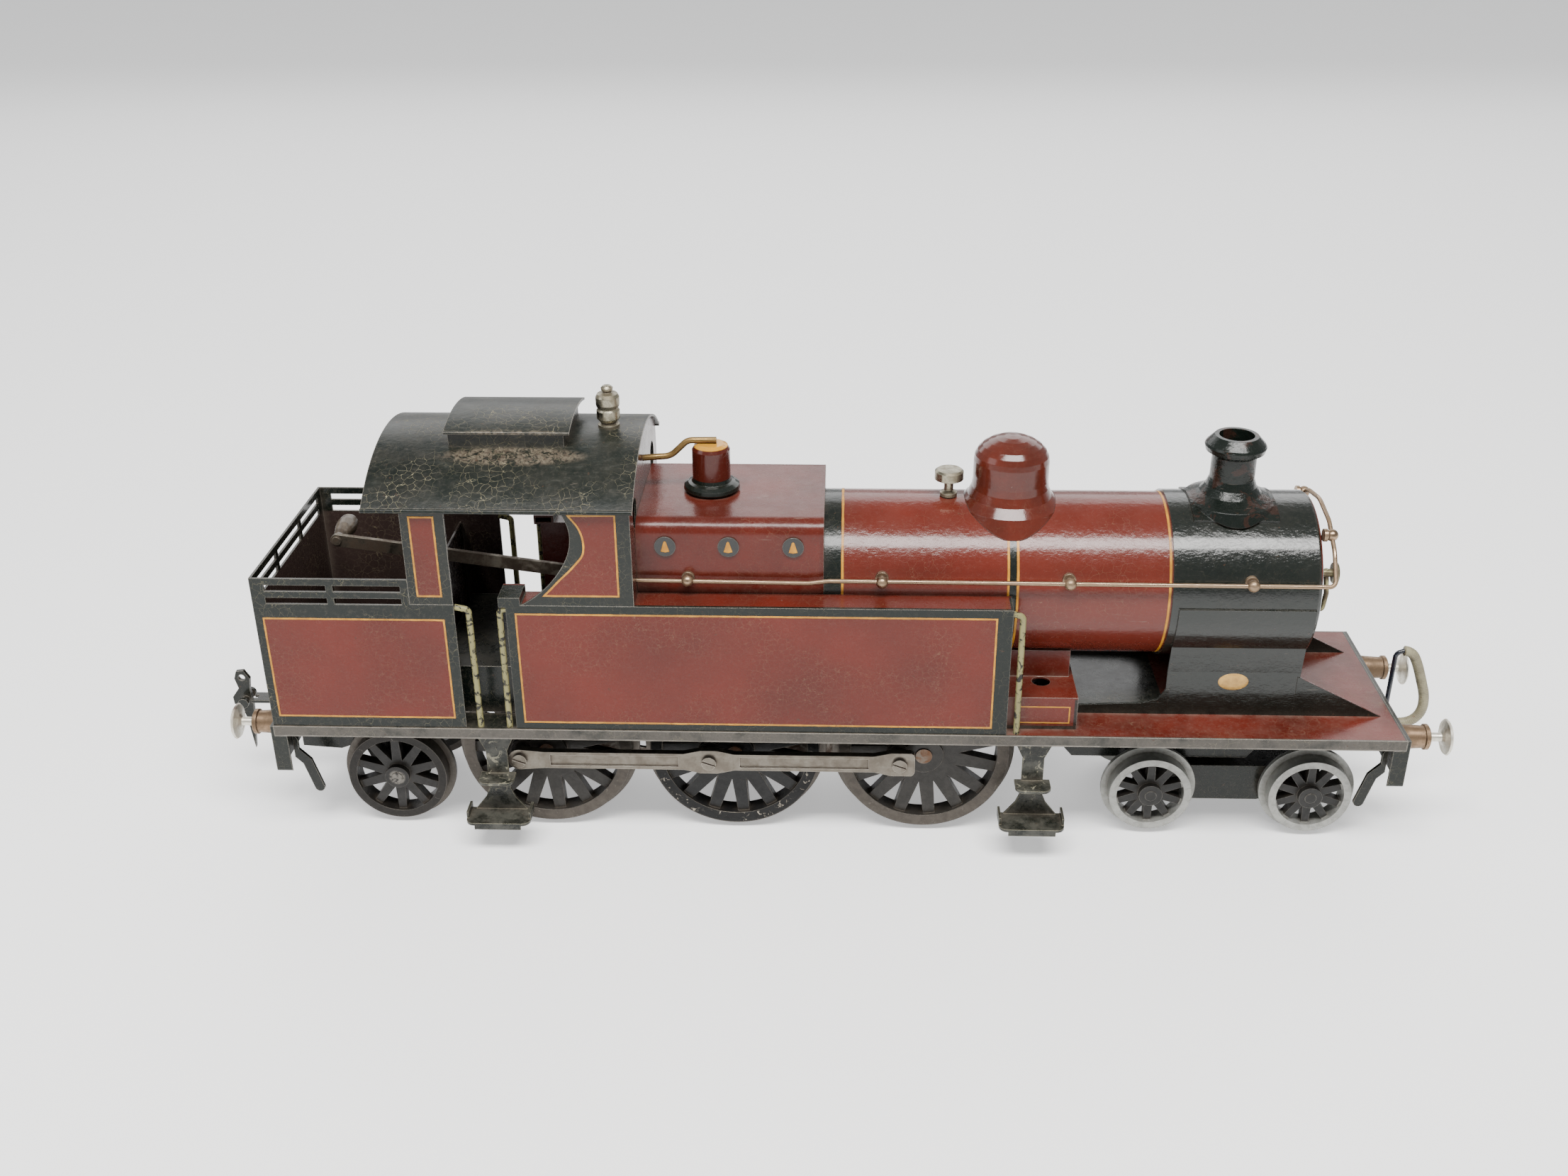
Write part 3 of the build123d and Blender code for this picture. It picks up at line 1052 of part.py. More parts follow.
def hose_pipe():
    """The brake pipe that rises in front of the beam and turns over into its hose."""
    x = BEAM_FACE_X
    route = [(x, 0, 37.4), (x + 4.6, 0, 37.6), (x + 4.7, 0, 61.6), (x + 7.6, 0, 62.6)]
    return wire(route, [2.2, 2.4], 0.85)


def brake_hose():
    """The ribbed hose that hangs from the pipe and returns to the beam."""
    route = [(x + BEAM_FACE_X, 0, z) for x, z in HOSE_ROUTE]
    runs = [math.dist(a, b) for a, b in zip(HOSE_ROUTE, HOSE_ROUTE[1:])]
    radii = []
    for k in range(1, len(HOSE_ROUTE) - 1):
        before = math.atan2(HOSE_ROUTE[k][1] - HOSE_ROUTE[k - 1][1],
                            HOSE_ROUTE[k][0] - HOSE_ROUTE[k - 1][0])
        after = math.atan2(HOSE_ROUTE[k + 1][1] - HOSE_ROUTE[k][1],
                           HOSE_ROUTE[k + 1][0] - HOSE_ROUTE[k][0])
        turn = abs(math.remainder(after - before, 2 * math.pi))
        radii.append(0.45 * min(runs[k - 1], runs[k]) / math.tan(turn / 2))
    path = FilletPolyline(*route, radius=radii)
    start = Plane(origin=path @ 0, z_dir=path % 0)
    hose = sweep(start * Circle(HOSE_RADIUS), path=path)
    expected = math.pi * HOSE_RADIUS ** 2 * path.length
    print("hose length", round(path.length, 2), "radii", [round(r, 2) for r in radii])
    print("hose volume over section times length", round(hose.volume / expected, 4))
    return hose


# ---- winding crank ---------------------------------------------------------
def along_crank(distance, rise=0.0):
    """A point on the crank bar, measured from the grip rivet towards the socket."""
    drop = math.radians(CRANK_DROP_DEGREES)
    x = CRANK_GRIP_X + distance * math.cos(drop) + rise * math.sin(drop)
    z = CRANK_GRIP_Z - distance * math.sin(drop) + rise * math.cos(drop)
    return x, z


def winding_crank():
    """The loose winding crank: a flat bar with a square socket at its far end."""
    half = CRANK_BAR_HEIGHT / 2
    y_low = CRANK_Y - CRANK_BAR_THICKNESS / 2
    y_high = CRANK_Y + CRANK_BAR_THICKNESS / 2
    bar = SlotCenterToCenter(CRANK_LENGTH, CRANK_BAR_HEIGHT)
    bar = Pos(CRANK_LENGTH / 2, 0) * bar
    bar = plate_across_y(bar, y_low, y_high)
    bar -= rod_along_y(0, y_low - 1, y_high + 1, 0, 1.2)
    socket = rod_along_y(CRANK_LENGTH, y_low, y_high + 9.0, 0, 3.4)
    socket -= block(CRANK_LENGTH - 1.4, CRANK_LENGTH + 1.4, y_high + 1.0, y_high + 10, -1.4, 1.4)
    rivet = rod_along_y(0, y_low - 0.7, y_high + 1.0, 0, 1.2)
    rivet += rod_along_y(0, y_low - 0.7, y_low, 0, half - 0.7)
    post = rod_along_y(0, y_high, y_high + GRIP_LENGTH - 0.6, 0, 1.2)
    crank = bar + socket + rivet + post
    place = Pos(CRANK_GRIP_X, 0, CRANK_GRIP_Z) * Rot(0, CRANK_DROP_DEGREES, 0)
    return single(place * crank)


def crank_grip():
    """The turned grip that spins on the crank's post."""
    start = CRANK_Y + CRANK_BAR_THICKNESS / 2 + 0.2
    bore = 1.2 + RUN_CLEARANCE
    profile = [(bore, 0), (2.0, 0), (1.9, 1.4), (2.4, 3.2), (3.3, 7.4), (3.7, 11.0), (3.3, 14.6),
               (2.2, 16.8), (bore, 17.4)]
    grip = Rot(-90, 0, 0) * turned(profile)
    place = Pos(CRANK_GRIP_X, start, CRANK_GRIP_Z) * Rot(0, CRANK_DROP_DEGREES, 0)
    return place * grip


# ---- gear positions and meshing phases -------------------------------------
FIRST_CENTRES = GEAR_MODULE * (GREAT_WHEEL_TEETH + SECOND_PINION_TEETH) / 2
LAST_CENTRES = GEAR_MODULE * (SECOND_WHEEL_TEETH + AXLE_PINION_TEETH) / 2
DROP = GREAT_WHEEL_Z - DRIVER_Z
ALONG = (FIRST_CENTRES ** 2 - LAST_CENTRES ** 2 + DROP ** 2) / (2 * DROP)
SECOND_X = MIDDLE_DRIVER_X + math.sqrt(FIRST_CENTRES ** 2 - ALONG ** 2)
SECOND_Z = GREAT_WHEEL_Z - ALONG
GOVERNOR_CENTRES = GEAR_MODULE * (SECOND_WHEEL_TEETH + GOVERNOR_PINION_TEETH) / 2
GOVERNOR_X = SECOND_X + GOVERNOR_CENTRES * math.cos(math.radians(GOVERNOR_ANGLE))
GOVERNOR_Z = SECOND_Z + GOVERNOR_CENTRES * math.sin(math.radians(GOVERNOR_ANGLE))
GREAT_WHEEL_Y = -9.0
SECOND_WHEEL_Y = -12.4
TO_GREAT = math.degrees(math.atan2(GREAT_WHEEL_Z - SECOND_Z, MIDDLE_DRIVER_X - SECOND_X))
TO_AXLE = math.degrees(math.atan2(DRIVER_Z - SECOND_Z, MIDDLE_DRIVER_X - SECOND_X))
SECOND_PINION_PHASE = TO_GREAT
GREAT_PHASE = TO_GREAT + 180 + 180 / GREAT_WHEEL_TEETH
SECOND_WHEEL_PHASE = TO_AXLE
AXLE_PINION_PHASE = TO_AXLE + 180 + 180 / AXLE_PINION_TEETH
TOOTH_PITCH = 360 / SECOND_WHEEL_TEETH
WHEEL_OFFSET = (GOVERNOR_ANGLE - SECOND_WHEEL_PHASE) % TOOTH_PITCH
GOVERNOR_PHASE = (GOVERNOR_ANGLE + 180 + 180 / GOVERNOR_PINION_TEETH
                  + WHEEL_OFFSET * SECOND_WHEEL_TEETH / GOVERNOR_PINION_TEETH)
PILLARS = ((MIDDLE_DRIVER_X - 21, FRAME_TOP + 1), (MIDDLE_DRIVER_X, GREAT_WHEEL_Z + 31.0),
           (REAR_DRIVER_X + 14, FRAME_TOP - 2), (FRONT_DRIVER_X - 14, FRAME_TOP - 4))
CAB_FLOOR_TOP = DRIVER_Z + DRIVER_RADIUS + FLANGE_DEPTH + 2.0
HOOK_PIVOT_X = -BEAM_FACE_X - 23.6
HOOK_PIVOT_Z = 36.8
FRONT_REACH = BEAM_FACE_X + 20.03
REAR_REACH = -HOOK_PIVOT_X + 5.2
OVERALL_MIDDLE_X = (FRONT_REACH - REAR_REACH) / 2
HOSE_RADIUS = 2.0
HOSE_ROUTE = ((7.6, 62.6), (10.4, 62.3), (13.0, 57.6), (15.6, 50.4), (18.0, 43.4), (17.9, 36.8),
              (14.4, 32.8), (8.4, 32.2), (0.0, 32.5))


def build():
    """Write every node."""
    os.makedirs("parts", exist_ok=True)
    beam = buffer_beam()
    write("footplate", footplate(), cab_floor())
    write("buffer_beams", beam, at_rear(beam))
    plate = mechanism_plate()
    write("mechanism_plates", plate, mirrored(plate))
    write("mechanism_pillars", *[mechanism_pillar(x, z) for x, z in PILLARS])
    write("mainspring", mainspring())
    write("great_wheel", great_wheel())
    write("spring_arbor", spring_arbor())
    write("second_wheel", second_wheel())
    write("governor", governor())
    write("end_frames", *both_sides(front_frame()), trailing_frame())
    write("bogie_frame", bogie_frame())
    write("bogie_pivot", bogie_pivot())
    rear_step = footstep(-119.6, 13.3, 9.5)
    front_step = footstep(70.2, 14.4, 10.0)
    write("footsteps", rear_step, mirrored(rear_step), front_step, mirrored(front_step))
    iron = guard_iron()
    rear_iron = at_rear(iron)
    write("guard_irons", iron, mirrored(iron), rear_iron, mirrored(rear_iron))
    places = {"front": FRONT_DRIVER_X, "middle": MIDDLE_DRIVER_X, "rear": REAR_DRIVER_X}
    for name, x in places.items():
        wheels = wheel_pair(DRIVER_RADIUS, DRIVER_AXLE_RADIUS, 7.0, DRIVER_SPOKES, x, DRIVER_Z,
                            cranked=True)
        write("driving_wheels_" + name, *wheels)
        write("driving_axle_" + name, driving_axle(x, name == "middle"))
        write("crank_pins_" + name, *crank_pins(x))
    write("coupling_rod_near", coupling_rod())
    write("coupling_rod_far", far_coupling_rod())
    trailing_axle = plain_axle(TRAILING_X, TRAILING_Z, SMALL_AXLE_RADIUS, WHEEL_FACE_Y + 1.2)
    write("trailing_wheelset", *wheel_pair(TRAILING_RADIUS, SMALL_AXLE_RADIUS, 4.4,
                                           TRAILING_SPOKES, TRAILING_X, TRAILING_Z),
          trailing_axle)
    for name, x in zip(("rear", "front"), BOGIE_AXLE_X):
        axle = plain_axle(x, BOGIE_Z, SMALL_AXLE_RADIUS, WHEEL_FACE_Y + 1.2)
        write("bogie_wheelset_" + name, *wheel_pair(BOGIE_RADIUS, SMALL_AXLE_RADIUS, 4.2,
                                                    BOGIE_SPOKES, x, BOGIE_Z), axle)
    write("side_tanks", side_tank(), far_side_tank())
    write("bunker", bunker())
    write("cab_shell", *cab_shell())
    write("cab_roof", cab_roof())
    write("roof_ventilator", ventilator_box(), ventilator_cover(SHEET))
    write("roof_whistle", roof_whistle())
    write("firebox", firebox())
    write("washout_plugs", *washout_plugs())
    write("boiler", boiler())
    write("smokebox", smokebox(), *both_sides(saddle_cheek()), smokebox_base())
    write("smokebox_front", smokebox_front())
    write("door_handle", door_handle())
    write("chimney", chimney())
    write("dome", dome())
    write("steam_column", steam_column())
    write("steam_pipe", steam_pipe())
    write("thumb_screw", thumb_screw())
    write("handrail", handrail())
    write("handrail_knobs", *handrail_knobs())
    write("grab_rails", *grab_rails())
    write("cylinder_box", cylinder_box())
    housing = buffer_housing()
    rear_housing = at_rear(housing)
    write("buffer_housings", housing, mirrored(housing), rear_housing, mirrored(rear_housing))
    head = buffer_head()
    write("buffer_front_near", head)
    write("buffer_front_far", mirrored(head))
    write("buffer_rear_near", at_rear(head))
    write("buffer_rear_far", mirrored(at_rear(head)))
    write("hook_bracket", hook_bracket())
    write("coupling_hook", coupling_hook())
    write("hose_pipe", hose_pipe())
    write("brake_hose", brake_hose())
    write("winding_crank", winding_crank())
    write("crank_grip", crank_grip())


build()
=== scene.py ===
import math

import bmesh
import bpy
from mathutils import Matrix, Vector, noise
from mathutils.bvhtree import BVHTree


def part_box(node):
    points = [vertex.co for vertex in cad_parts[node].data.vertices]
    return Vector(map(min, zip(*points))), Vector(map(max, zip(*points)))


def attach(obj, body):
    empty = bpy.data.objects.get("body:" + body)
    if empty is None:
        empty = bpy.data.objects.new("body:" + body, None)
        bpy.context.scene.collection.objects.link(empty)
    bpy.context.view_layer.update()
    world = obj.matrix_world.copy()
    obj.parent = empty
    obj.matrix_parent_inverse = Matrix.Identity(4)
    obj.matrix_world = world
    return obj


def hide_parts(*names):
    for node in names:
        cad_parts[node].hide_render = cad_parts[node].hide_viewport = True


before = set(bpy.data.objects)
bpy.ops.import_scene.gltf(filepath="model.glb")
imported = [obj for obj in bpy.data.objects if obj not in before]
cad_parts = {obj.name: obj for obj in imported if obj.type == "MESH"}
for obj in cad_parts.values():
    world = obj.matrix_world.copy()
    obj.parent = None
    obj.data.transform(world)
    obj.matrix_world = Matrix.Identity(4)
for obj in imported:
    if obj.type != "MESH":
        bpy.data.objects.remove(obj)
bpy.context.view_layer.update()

# Lengths in this script are millimetres measured from the middle of the footplate, unless a
# comment says metres. +X is the smokebox end, -Y the near side and +Z is up.
plate_low, plate_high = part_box("footplate")
PLATE_MIDDLE = (plate_low[0] + plate_high[0]) / 2
MM = 0.001

# ---- colours, linear ------------------------------------------------------------------
MAROON = (0.118, 0.0155, 0.0085)
MAROON_DEEP = (0.072, 0.0105, 0.006)
BLACK_GREEN = (0.0055, 0.0085, 0.0065)
BLACK_SOFT = (0.010, 0.012, 0.0095)
YELLOW = (0.640, 0.300, 0.022)
YELLOW_OLD = (0.440, 0.185, 0.016)
CREAM = (0.520, 0.455, 0.270)
DUST = (0.230, 0.190, 0.150)
BARE_TIN = (0.360, 0.330, 0.285)
RUST = (0.130, 0.055, 0.022)
RUST_DARK = (0.050, 0.025, 0.014)


def metres(x, y, z):
    """A point given in millimetres from the footplate's middle, in the frame's metres."""
    return Vector((PLATE_MIDDLE + x * MM, y * MM, z * MM))


# ---- shader building ------------------------------------------------------------------
class Value:
    """A number in a shader that plain arithmetic works on."""

    def __init__(self, paint, socket):
        self.paint = paint
        self.socket = socket

    def __add__(self, other):
        return self.paint.math("ADD", self, other)

    def __radd__(self, other):
        return self.paint.math("ADD", self, other)

    def __sub__(self, other):
        return self.paint.math("SUBTRACT", self, other)

    def __rsub__(self, other):
        return self.paint.math("SUBTRACT", other, self)

    def __mul__(self, other):
        return self.paint.math("MULTIPLY", self, other)

    def __rmul__(self, other):
        return self.paint.math("MULTIPLY", self, other)

    def __truediv__(self, other):
        return self.paint.math("DIVIDE", self, other)

    def power(self, other):
        return self.paint.math("POWER", self, other)

    def size(self):
        return self.paint.math("ABSOLUTE", self)

    def root(self):
        return self.paint.math("SQRT", self)

    def least(self, other):
        return self.paint.math("MINIMUM", self, other)

    def most(self, other):
        return self.paint.math("MAXIMUM", self, other)

    def above(self, edge, soft=0.05):
        """0 below the edge, 1 above it, with a soft change of that half width."""
        node = self.paint.add("ShaderNodeMapRange")
        node.interpolation_type = "SMOOTHSTEP"
        self.paint.feed(node.inputs["Value"], self)
        node.inputs["From Min"].default_value = edge - soft
        node.inputs["From Max"].default_value = edge + soft
        return Value(self.paint, node.outputs["Result"])

    def below(self, edge, soft=0.05):
        return 1 - self.above(edge, soft)

    def between(self, low, high, soft=0.05):
        return self.above(low, soft) * self.below(high, soft)


class Paint:
    """One procedural material, with coordinates in millimetres from the footplate's middle."""

    def __init__(self, name):
        self.material = bpy.data.materials.new(name)
        self.material.use_nodes = True
        self.tree = self.material.node_tree
        self.tree.nodes.clear()
        self.output = self.add("ShaderNodeOutputMaterial")
        self.shader = self.add("ShaderNodeBsdfPrincipled")
        self.tree.links.new(self.shader.outputs["BSDF"], self.output.inputs["Surface"])
        coordinates = self.add("ShaderNodeTexCoord").outputs["Object"]
        scaled = self.add("ShaderNodeVectorMath", operation="SCALE")
        self.tree.links.new(coordinates, scaled.inputs[0])
        scaled.inputs["Scale"].default_value = 1000.0
        moved = self.add("ShaderNodeVectorMath", operation="SUBTRACT")
        self.tree.links.new(scaled.outputs[0], moved.inputs[0])
        moved.inputs[1].default_value = (PLATE_MIDDLE * 1000.0, 0.0, 0.0)
        self.place = moved.outputs[0]
        split = self.add("ShaderNodeSeparateXYZ")
        self.tree.links.new(self.place, split.inputs[0])
        self.x = Value(self, split.outputs[0])
        self.y = Value(self, split.outputs[1])
        self.z = Value(self, split.outputs[2])
        geometry = self.add("ShaderNodeNewGeometry")
        self.normal = geometry.outputs["Normal"]
        facing = self.add("ShaderNodeSeparateXYZ")
        self.tree.links.new(self.normal, facing.inputs[0])
        self.up = Value(self, facing.outputs[2])

    def add(self, kind, **settings):
        node = self.tree.nodes.new(kind)
        for key, value in settings.items():
            setattr(node, key, value)
        return node

    def feed(self, socket, value):
        if isinstance(value, Value):
            self.tree.links.new(value.socket, socket)
        elif isinstance(value, bpy.types.NodeSocket):
            self.tree.links.new(value, socket)
        elif isinstance(value, tuple):
            socket.default_value = (*value, 1.0)[:len(socket.default_value)]
        else:
            socket.default_value = value

    def math(self, operation, first, second=None):
        node = self.add("ShaderNodeMath", operation=operation)
        self.feed(node.inputs[0], first)
        if second is not None:
            self.feed(node.inputs[1], second)
        return Value(self, node.outputs[0])

    def stretched(self, stretch, turn=(0.0, 0.0, 0.0)):
        node = self.add("ShaderNodeMapping")
        self.tree.links.new(self.place, node.inputs["Vector"])
        node.inputs["Scale"].default_value = stretch
        node.inputs["Rotation"].default_value = turn
        return node.outputs[0]

    def cloud(self, size, detail=3.0, roughness=0.55, warp=0.0, place=None, stretch=None):
        """Soft noise from 0 to 1 whose blotches are about that many millimetres wide."""
        node = self.add("ShaderNodeTexNoise")
        if stretch is not None:
            place = self.stretched(stretch)
        self.tree.links.new(place or self.place, node.inputs["Vector"])
        node.inputs["Scale"].default_value = 1.0 / size
        node.inputs["Detail"].default_value = detail
        node.inputs["Roughness"].default_value = roughness
        node.inputs["Distortion"].default_value = warp
        return Value(self, node.outputs["Fac"])

    def bent(self, size, amount):
        """The coordinates pushed about by noise, for crooked lines."""
        node = self.add("ShaderNodeTexNoise")
        self.tree.links.new(self.place, node.inputs["Vector"])
        node.inputs["Scale"].default_value = 1.0 / size
        node.inputs["Detail"].default_value = 2.0
        centred = self.add("ShaderNodeVectorMath", operation="SUBTRACT")
        self.tree.links.new(node.outputs["Color"], centred.inputs[0])
        centred.inputs[1].default_value = (0.5, 0.5, 0.5)
        scaled = self.add("ShaderNodeVectorMath", operation="SCALE")
        self.tree.links.new(centred.outputs[0], scaled.inputs[0])
        scaled.inputs["Scale"].default_value = amount
        total = self.add("ShaderNodeVectorMath", operation="ADD")
        self.tree.links.new(self.place, total.inputs[0])
        self.tree.links.new(scaled.outputs[0], total.inputs[1])
        return total.outputs[0]

    def cracks(self, size, width, bend=1.5):
        """A net of thin crooked lines: 1 on a line, 0 off it."""
        node = self.add("ShaderNodeTexVoronoi", feature="DISTANCE_TO_EDGE")
        self.tree.links.new(self.bent(size * 0.7, bend), node.inputs["Vector"])
        node.inputs["Scale"].default_value = 1.0 / size
        return Value(self, node.outputs["Distance"]).below(width / size, width / size)

    def edges(self, radius):
        """About 1 on the sharp edges of the mesh and 0 on its flats."""
        bevel = self.add("ShaderNodeBevel", samples=4)
        bevel.inputs["Radius"].default_value = radius * MM
        dot = self.add("ShaderNodeVectorMath", operation="DOT_PRODUCT")
        self.tree.links.new(bevel.outputs[0], dot.inputs[0])
        self.tree.links.new(self.normal, dot.inputs[1])
        return (1 - Value(self, dot.outputs["Value"])) * 4.0

    def corners(self, reach):
        """About 1 deep in corners and 0 in the open."""
        node = self.add("ShaderNodeAmbientOcclusion", samples=6)
        node.inputs["Distance"].default_value = reach * MM
        return 1 - Value(self, node.outputs["AO"])

    def mix(self, amount, first, second):
        node = self.add("ShaderNodeMix", data_type="RGBA")
        self.feed(node.inputs["Factor"], amount)
        self.feed(node.inputs[6], first)
        self.feed(node.inputs[7], second)
        return node.outputs[2]

    def raise_surface(self, height, strength=1.0, round_edges=0.0):
        """Bump from a height in millimetres."""
        node = self.add("ShaderNodeBump")
        node.inputs["Strength"].default_value = strength
        node.inputs["Distance"].default_value = MM
        self.feed(node.inputs["Height"], height)
        if round_edges:
            bevel = self.add("ShaderNodeBevel", samples=4)
            bevel.inputs["Radius"].default_value = round_edges * MM
            self.tree.links.new(bevel.outputs[0], node.inputs["Normal"])
        self.tree.links.new(node.outputs[0], self.shader.inputs["Normal"])

    def finish(self, colour, roughness, metallic=0.0, coat=0.0, coat_roughness=0.1, ior=1.5):
        self.feed(self.shader.inputs["Base Color"], colour)
        self.feed(self.shader.inputs["Roughness"], roughness)
        self.feed(self.shader.inputs["Metallic"], metallic)
        self.shader.inputs["Coat Weight"].default_value = coat
        self.shader.inputs["Coat Roughness"].default_value = coat_roughness
        self.shader.inputs["IOR"].default_value = ior
        return self.material


def enamel(name, colours, craze=0.5, craze_size=3.0, chips=0.4, chip_colour=BARE_TIN, gloss=0.26,
           peel=0.022, dent=0.10, dust=0.5, edge=0.5, coat=0.08):
    """Old stoved enamel on tinplate: colours(paint) gives the paint's colour over the surface."""
    p = Paint(name)
    colour = colours(p)
    slow = p.cloud(34.0, 3.0)
    fine = p.cloud(1.3, 4.0, 0.65)
    shade = p.mix(slow.above(0.5, 0.28) * 0.30, colour, (0.0, 0.0, 0.0))
    shade = p.mix(fine.above(0.62, 0.14) * 0.12 * dust, shade, DUST)
    net = p.cracks(craze_size, 0.024) * p.cloud(17.0, 2.0).above(0.50, 0.12)
    net = net * craze
    shade = p.mix(net * 0.42, shade, CREAM)
    scuffs = p.cloud(1.0, 3.0, 0.6, stretch=(0.10, 0.10, 1.3)).above(0.70, 0.03)
    scuffs = scuffs * p.cloud(14.0, 2.0).above(0.54, 0.06)
    shade = p.mix(scuffs * 0.22, shade, DUST)
    specks = p.cloud(1.7, 2.0, 0.5, 0.6).above(0.735, 0.02) * p.cloud(11.0).above(0.48, 0.1)
    shade = p.mix(specks * 0.75, shade, RUST_DARK)
    rim = p.edges(0.45) + (p.cloud(2.4, 4.0, 0.7) - 0.5) * 1.5
    worn = rim.above(0.78 - 0.35 * edge, 0.10) * p.edges(0.45).above(0.12, 0.08)
    flakes = p.cloud(4.5, 5.0, 0.62, 0.8).above(0.80 - 0.14 * chips, 0.015)
    bare = (worn * edge).most(flakes * chips)
    shade = p.mix(bare, shade, chip_colour)
    dirt = p.corners(5.0).above(0.42, 0.30) * p.cloud(5.0, 3.0).above(0.42, 0.18)
    top = p.up.above(0.75, 0.2) * p.cloud(8.0, 4.0, 0.7).above(0.5, 0.2) * 0.10
    film = (dirt * 0.55).most(top) * dust
    shade = p.mix(film, shade, DUST)
    roughness = (gloss + (p.cloud(6.0, 4.0, 0.7) - 0.5) * 0.22 + net * 0.25 + bare * 0.25
                 + film * 0.55 + fine.above(0.6, 0.1) * 0.06)
    height = ((p.cloud(2.3, 3.0, 0.55) - 0.5) * peel * 3.2
              + (p.cloud(0.75, 2.0, 0.5, stretch=(0.55, 0.55, 1.35)) - 0.5) * peel * 1.1
              + (p.cloud(26.0, 1.0) - 0.5) * dent * 6.0
              - net * 0.02 - bare * 0.05 - scuffs * 0.01)
    p.raise_surface(height, 1.0, 0.35)
    return p.finish(shade, roughness, bare * 0.55, coat, 0.12, 1.33)


def metal(name, colour, stain, rough=0.32, staining=0.5, grain=(1.0, 1.0, 1.0), pits=0.4,
          bright=None, scratch=0.5):
    """Bare or plated metal with stains, pits, scratches and rubbed edges."""
    p = Paint(name)
    stains = p.cloud(5.5, 5.0, 0.68, 0.4).above(0.60 - 0.22 * staining, 0.14)
    mottle = p.cloud(0.9, 3.0, 0.7)
    base = p.mix(mottle.above(0.5, 0.3) * 0.35, colour, tuple(0.62 * c for c in colour))
    base = p.mix(stains * min(0.95, 0.35 + staining), base, stain)
    spots = p.cloud(0.8, 2.0, 0.5).above(0.70, 0.04) * p.cloud(6.0).above(0.45, 0.1) * pits
    base = p.mix(spots, base, RUST_DARK)
    rubbed = (p.edges(0.3) + (mottle - 0.5)).above(0.45, 0.2) * 0.7
    base = p.mix(rubbed, base, bright or tuple(min(1.0, 1.35 * c) for c in colour))
    dirt = p.corners(2.5).above(0.45, 0.25)
    base = p.mix(dirt * 0.75, base, RUST_DARK)
    lines = p.cloud(0.28, 2.0, 0.5, stretch=grain)
    roughness = rough + stains * 0.22 + (mottle - 0.5) * 0.20 + spots * 0.2 + dirt * 0.3
    height = (lines - 0.5) * 0.012 * scratch - spots * 0.05 + (p.cloud(1.6) - 0.5) * 0.03
    p.raise_surface(height, 1.0, 0.22)
    return p.finish(base, roughness, 1 - (stains * 0.35).most(dirt * 0.8))


# ---- the paint scheme -----------------------------------------------------------------
def plain(colour, other=None, patch=20.0, share=0.5):
    """The same paint all over, or with soft patches of another shade."""
    def colours(p):
        second = other or tuple(0.75 * c for c in colour)
        return p.mix(p.cloud(patch, 3.0).above(1 - share, 0.2), colour, second)
    return colours


TANK_TOP = 97.4


def tank_colours(p):
    """Maroon on the tank's top, black on its ends and round its side panels."""
    top = p.z.above(TANK_TOP, 0.05) * p.y.size().below(38.2, 0.12)
    top = top * p.x.between(-105.4, 58.9, 0.12) * p.z.below(98.0, 0.2)
    inner = p.y.size().below(29.6, 0.05)
    return p.mix(top.most(inner), BLACK_GREEN, p.mix(p.cloud(16.0), MAROON, MAROON_DEEP))


def bunker_colours(p):
    """Maroon inside the bunker, black outside and on its rails."""
    side = p.y.size().below(38.62, 0.02) * p.x.above(-196.22, 0.02)
    inside = side * p.z.below(97.0, 0.4)
    grubby = p.mix(p.cloud(12.0), (0.050, 0.030, 0.026), (0.034, 0.024, 0.021))
    return p.mix(inside, BLACK_GREEN, grubby)


def boiler_colours(p):
    """Maroon with black bands round it."""
    bands = p.x.between(-4.5, 2.0, 0.08).most(p.x.between(59.1, 61.5, 0.08))
    under = p.z.below(68.6, 1.4)
    maroon = p.mix(p.cloud(30.0, 4.0).above(0.5, 0.25), MAROON, (0.115, 0.019, 0.011))
    return p.mix(bands.most(under * 0.8), maroon, BLACK_GREEN)


def firebox_colours(p):
    """Maroon, with painted shade on its front corner next to the boiler."""
    # Painted shade: the front corner is mixed towards deep maroon.
    front = p.x.above(-5.2, 0.3) * 0.6
    maroon = p.mix(p.cloud(22.0, 4.0).above(0.5, 0.25), MAROON, MAROON_DEEP)
    return p.mix(front, maroon, MAROON_DEEP)


def footplate_colours(p):
    """Maroon on the top of the running plate, black round its edge and underneath."""
    top = p.z.above(48.85, 0.05) * p.y.size().below(39.35, 0.1) * p.x.size().below(196.4, 0.1)
    ahead = p.x.above(60.0, 0.5)
    floor = p.y.size().below(23.2, 0.2) * p.x.between(84.4, 118.0, 0.2)
    maroon = p.mix(p.cloud(24.0, 4.0).above(0.5, 0.2), MAROON, MAROON_DEEP)
    line = p.z.between(44.9, 45.5, 0.1) * p.cloud(9.0, 4.0).above(0.42, 0.1)
    black = p.mix(line * 0.8, BLACK_GREEN, BARE_TIN)
    edge = p.y.size().above(39.3, 0.1)
    black = p.mix(edge * p.cloud(7.0, 4.0).above(0.36, 0.2) * 0.8, black, (0.090, 0.080, 0.068))
    return p.mix(top * ahead * (1 - floor), black, maroon)


def smokebox_colours(p):
    """Black-green all over but the sloping plate in front, which is maroon on top."""
    slope = p.x.above(163.2, 0.2) * p.up.above(0.3, 0.1)
    black = p.mix(p.cloud(13.0, 4.0).above(0.55, 0.2), BLACK_GREEN, BLACK_SOFT)
    return p.mix(slope, black, p.mix(p.cloud(18.0), MAROON, MAROON_DEEP))


def column_colours(p):
    """Maroon, with gold on the cap and a black ring at the foot."""
    cap = p.z.above(140.2, 0.15) * (p.cloud(3.0, 3.0) + p.z * 0.1).above(14.4, 0.06)
    foot = p.z.below(128.9, 0.12)
    return p.mix(foot, p.mix(cap, MAROON_DEEP, YELLOW), BLACK_GREEN)


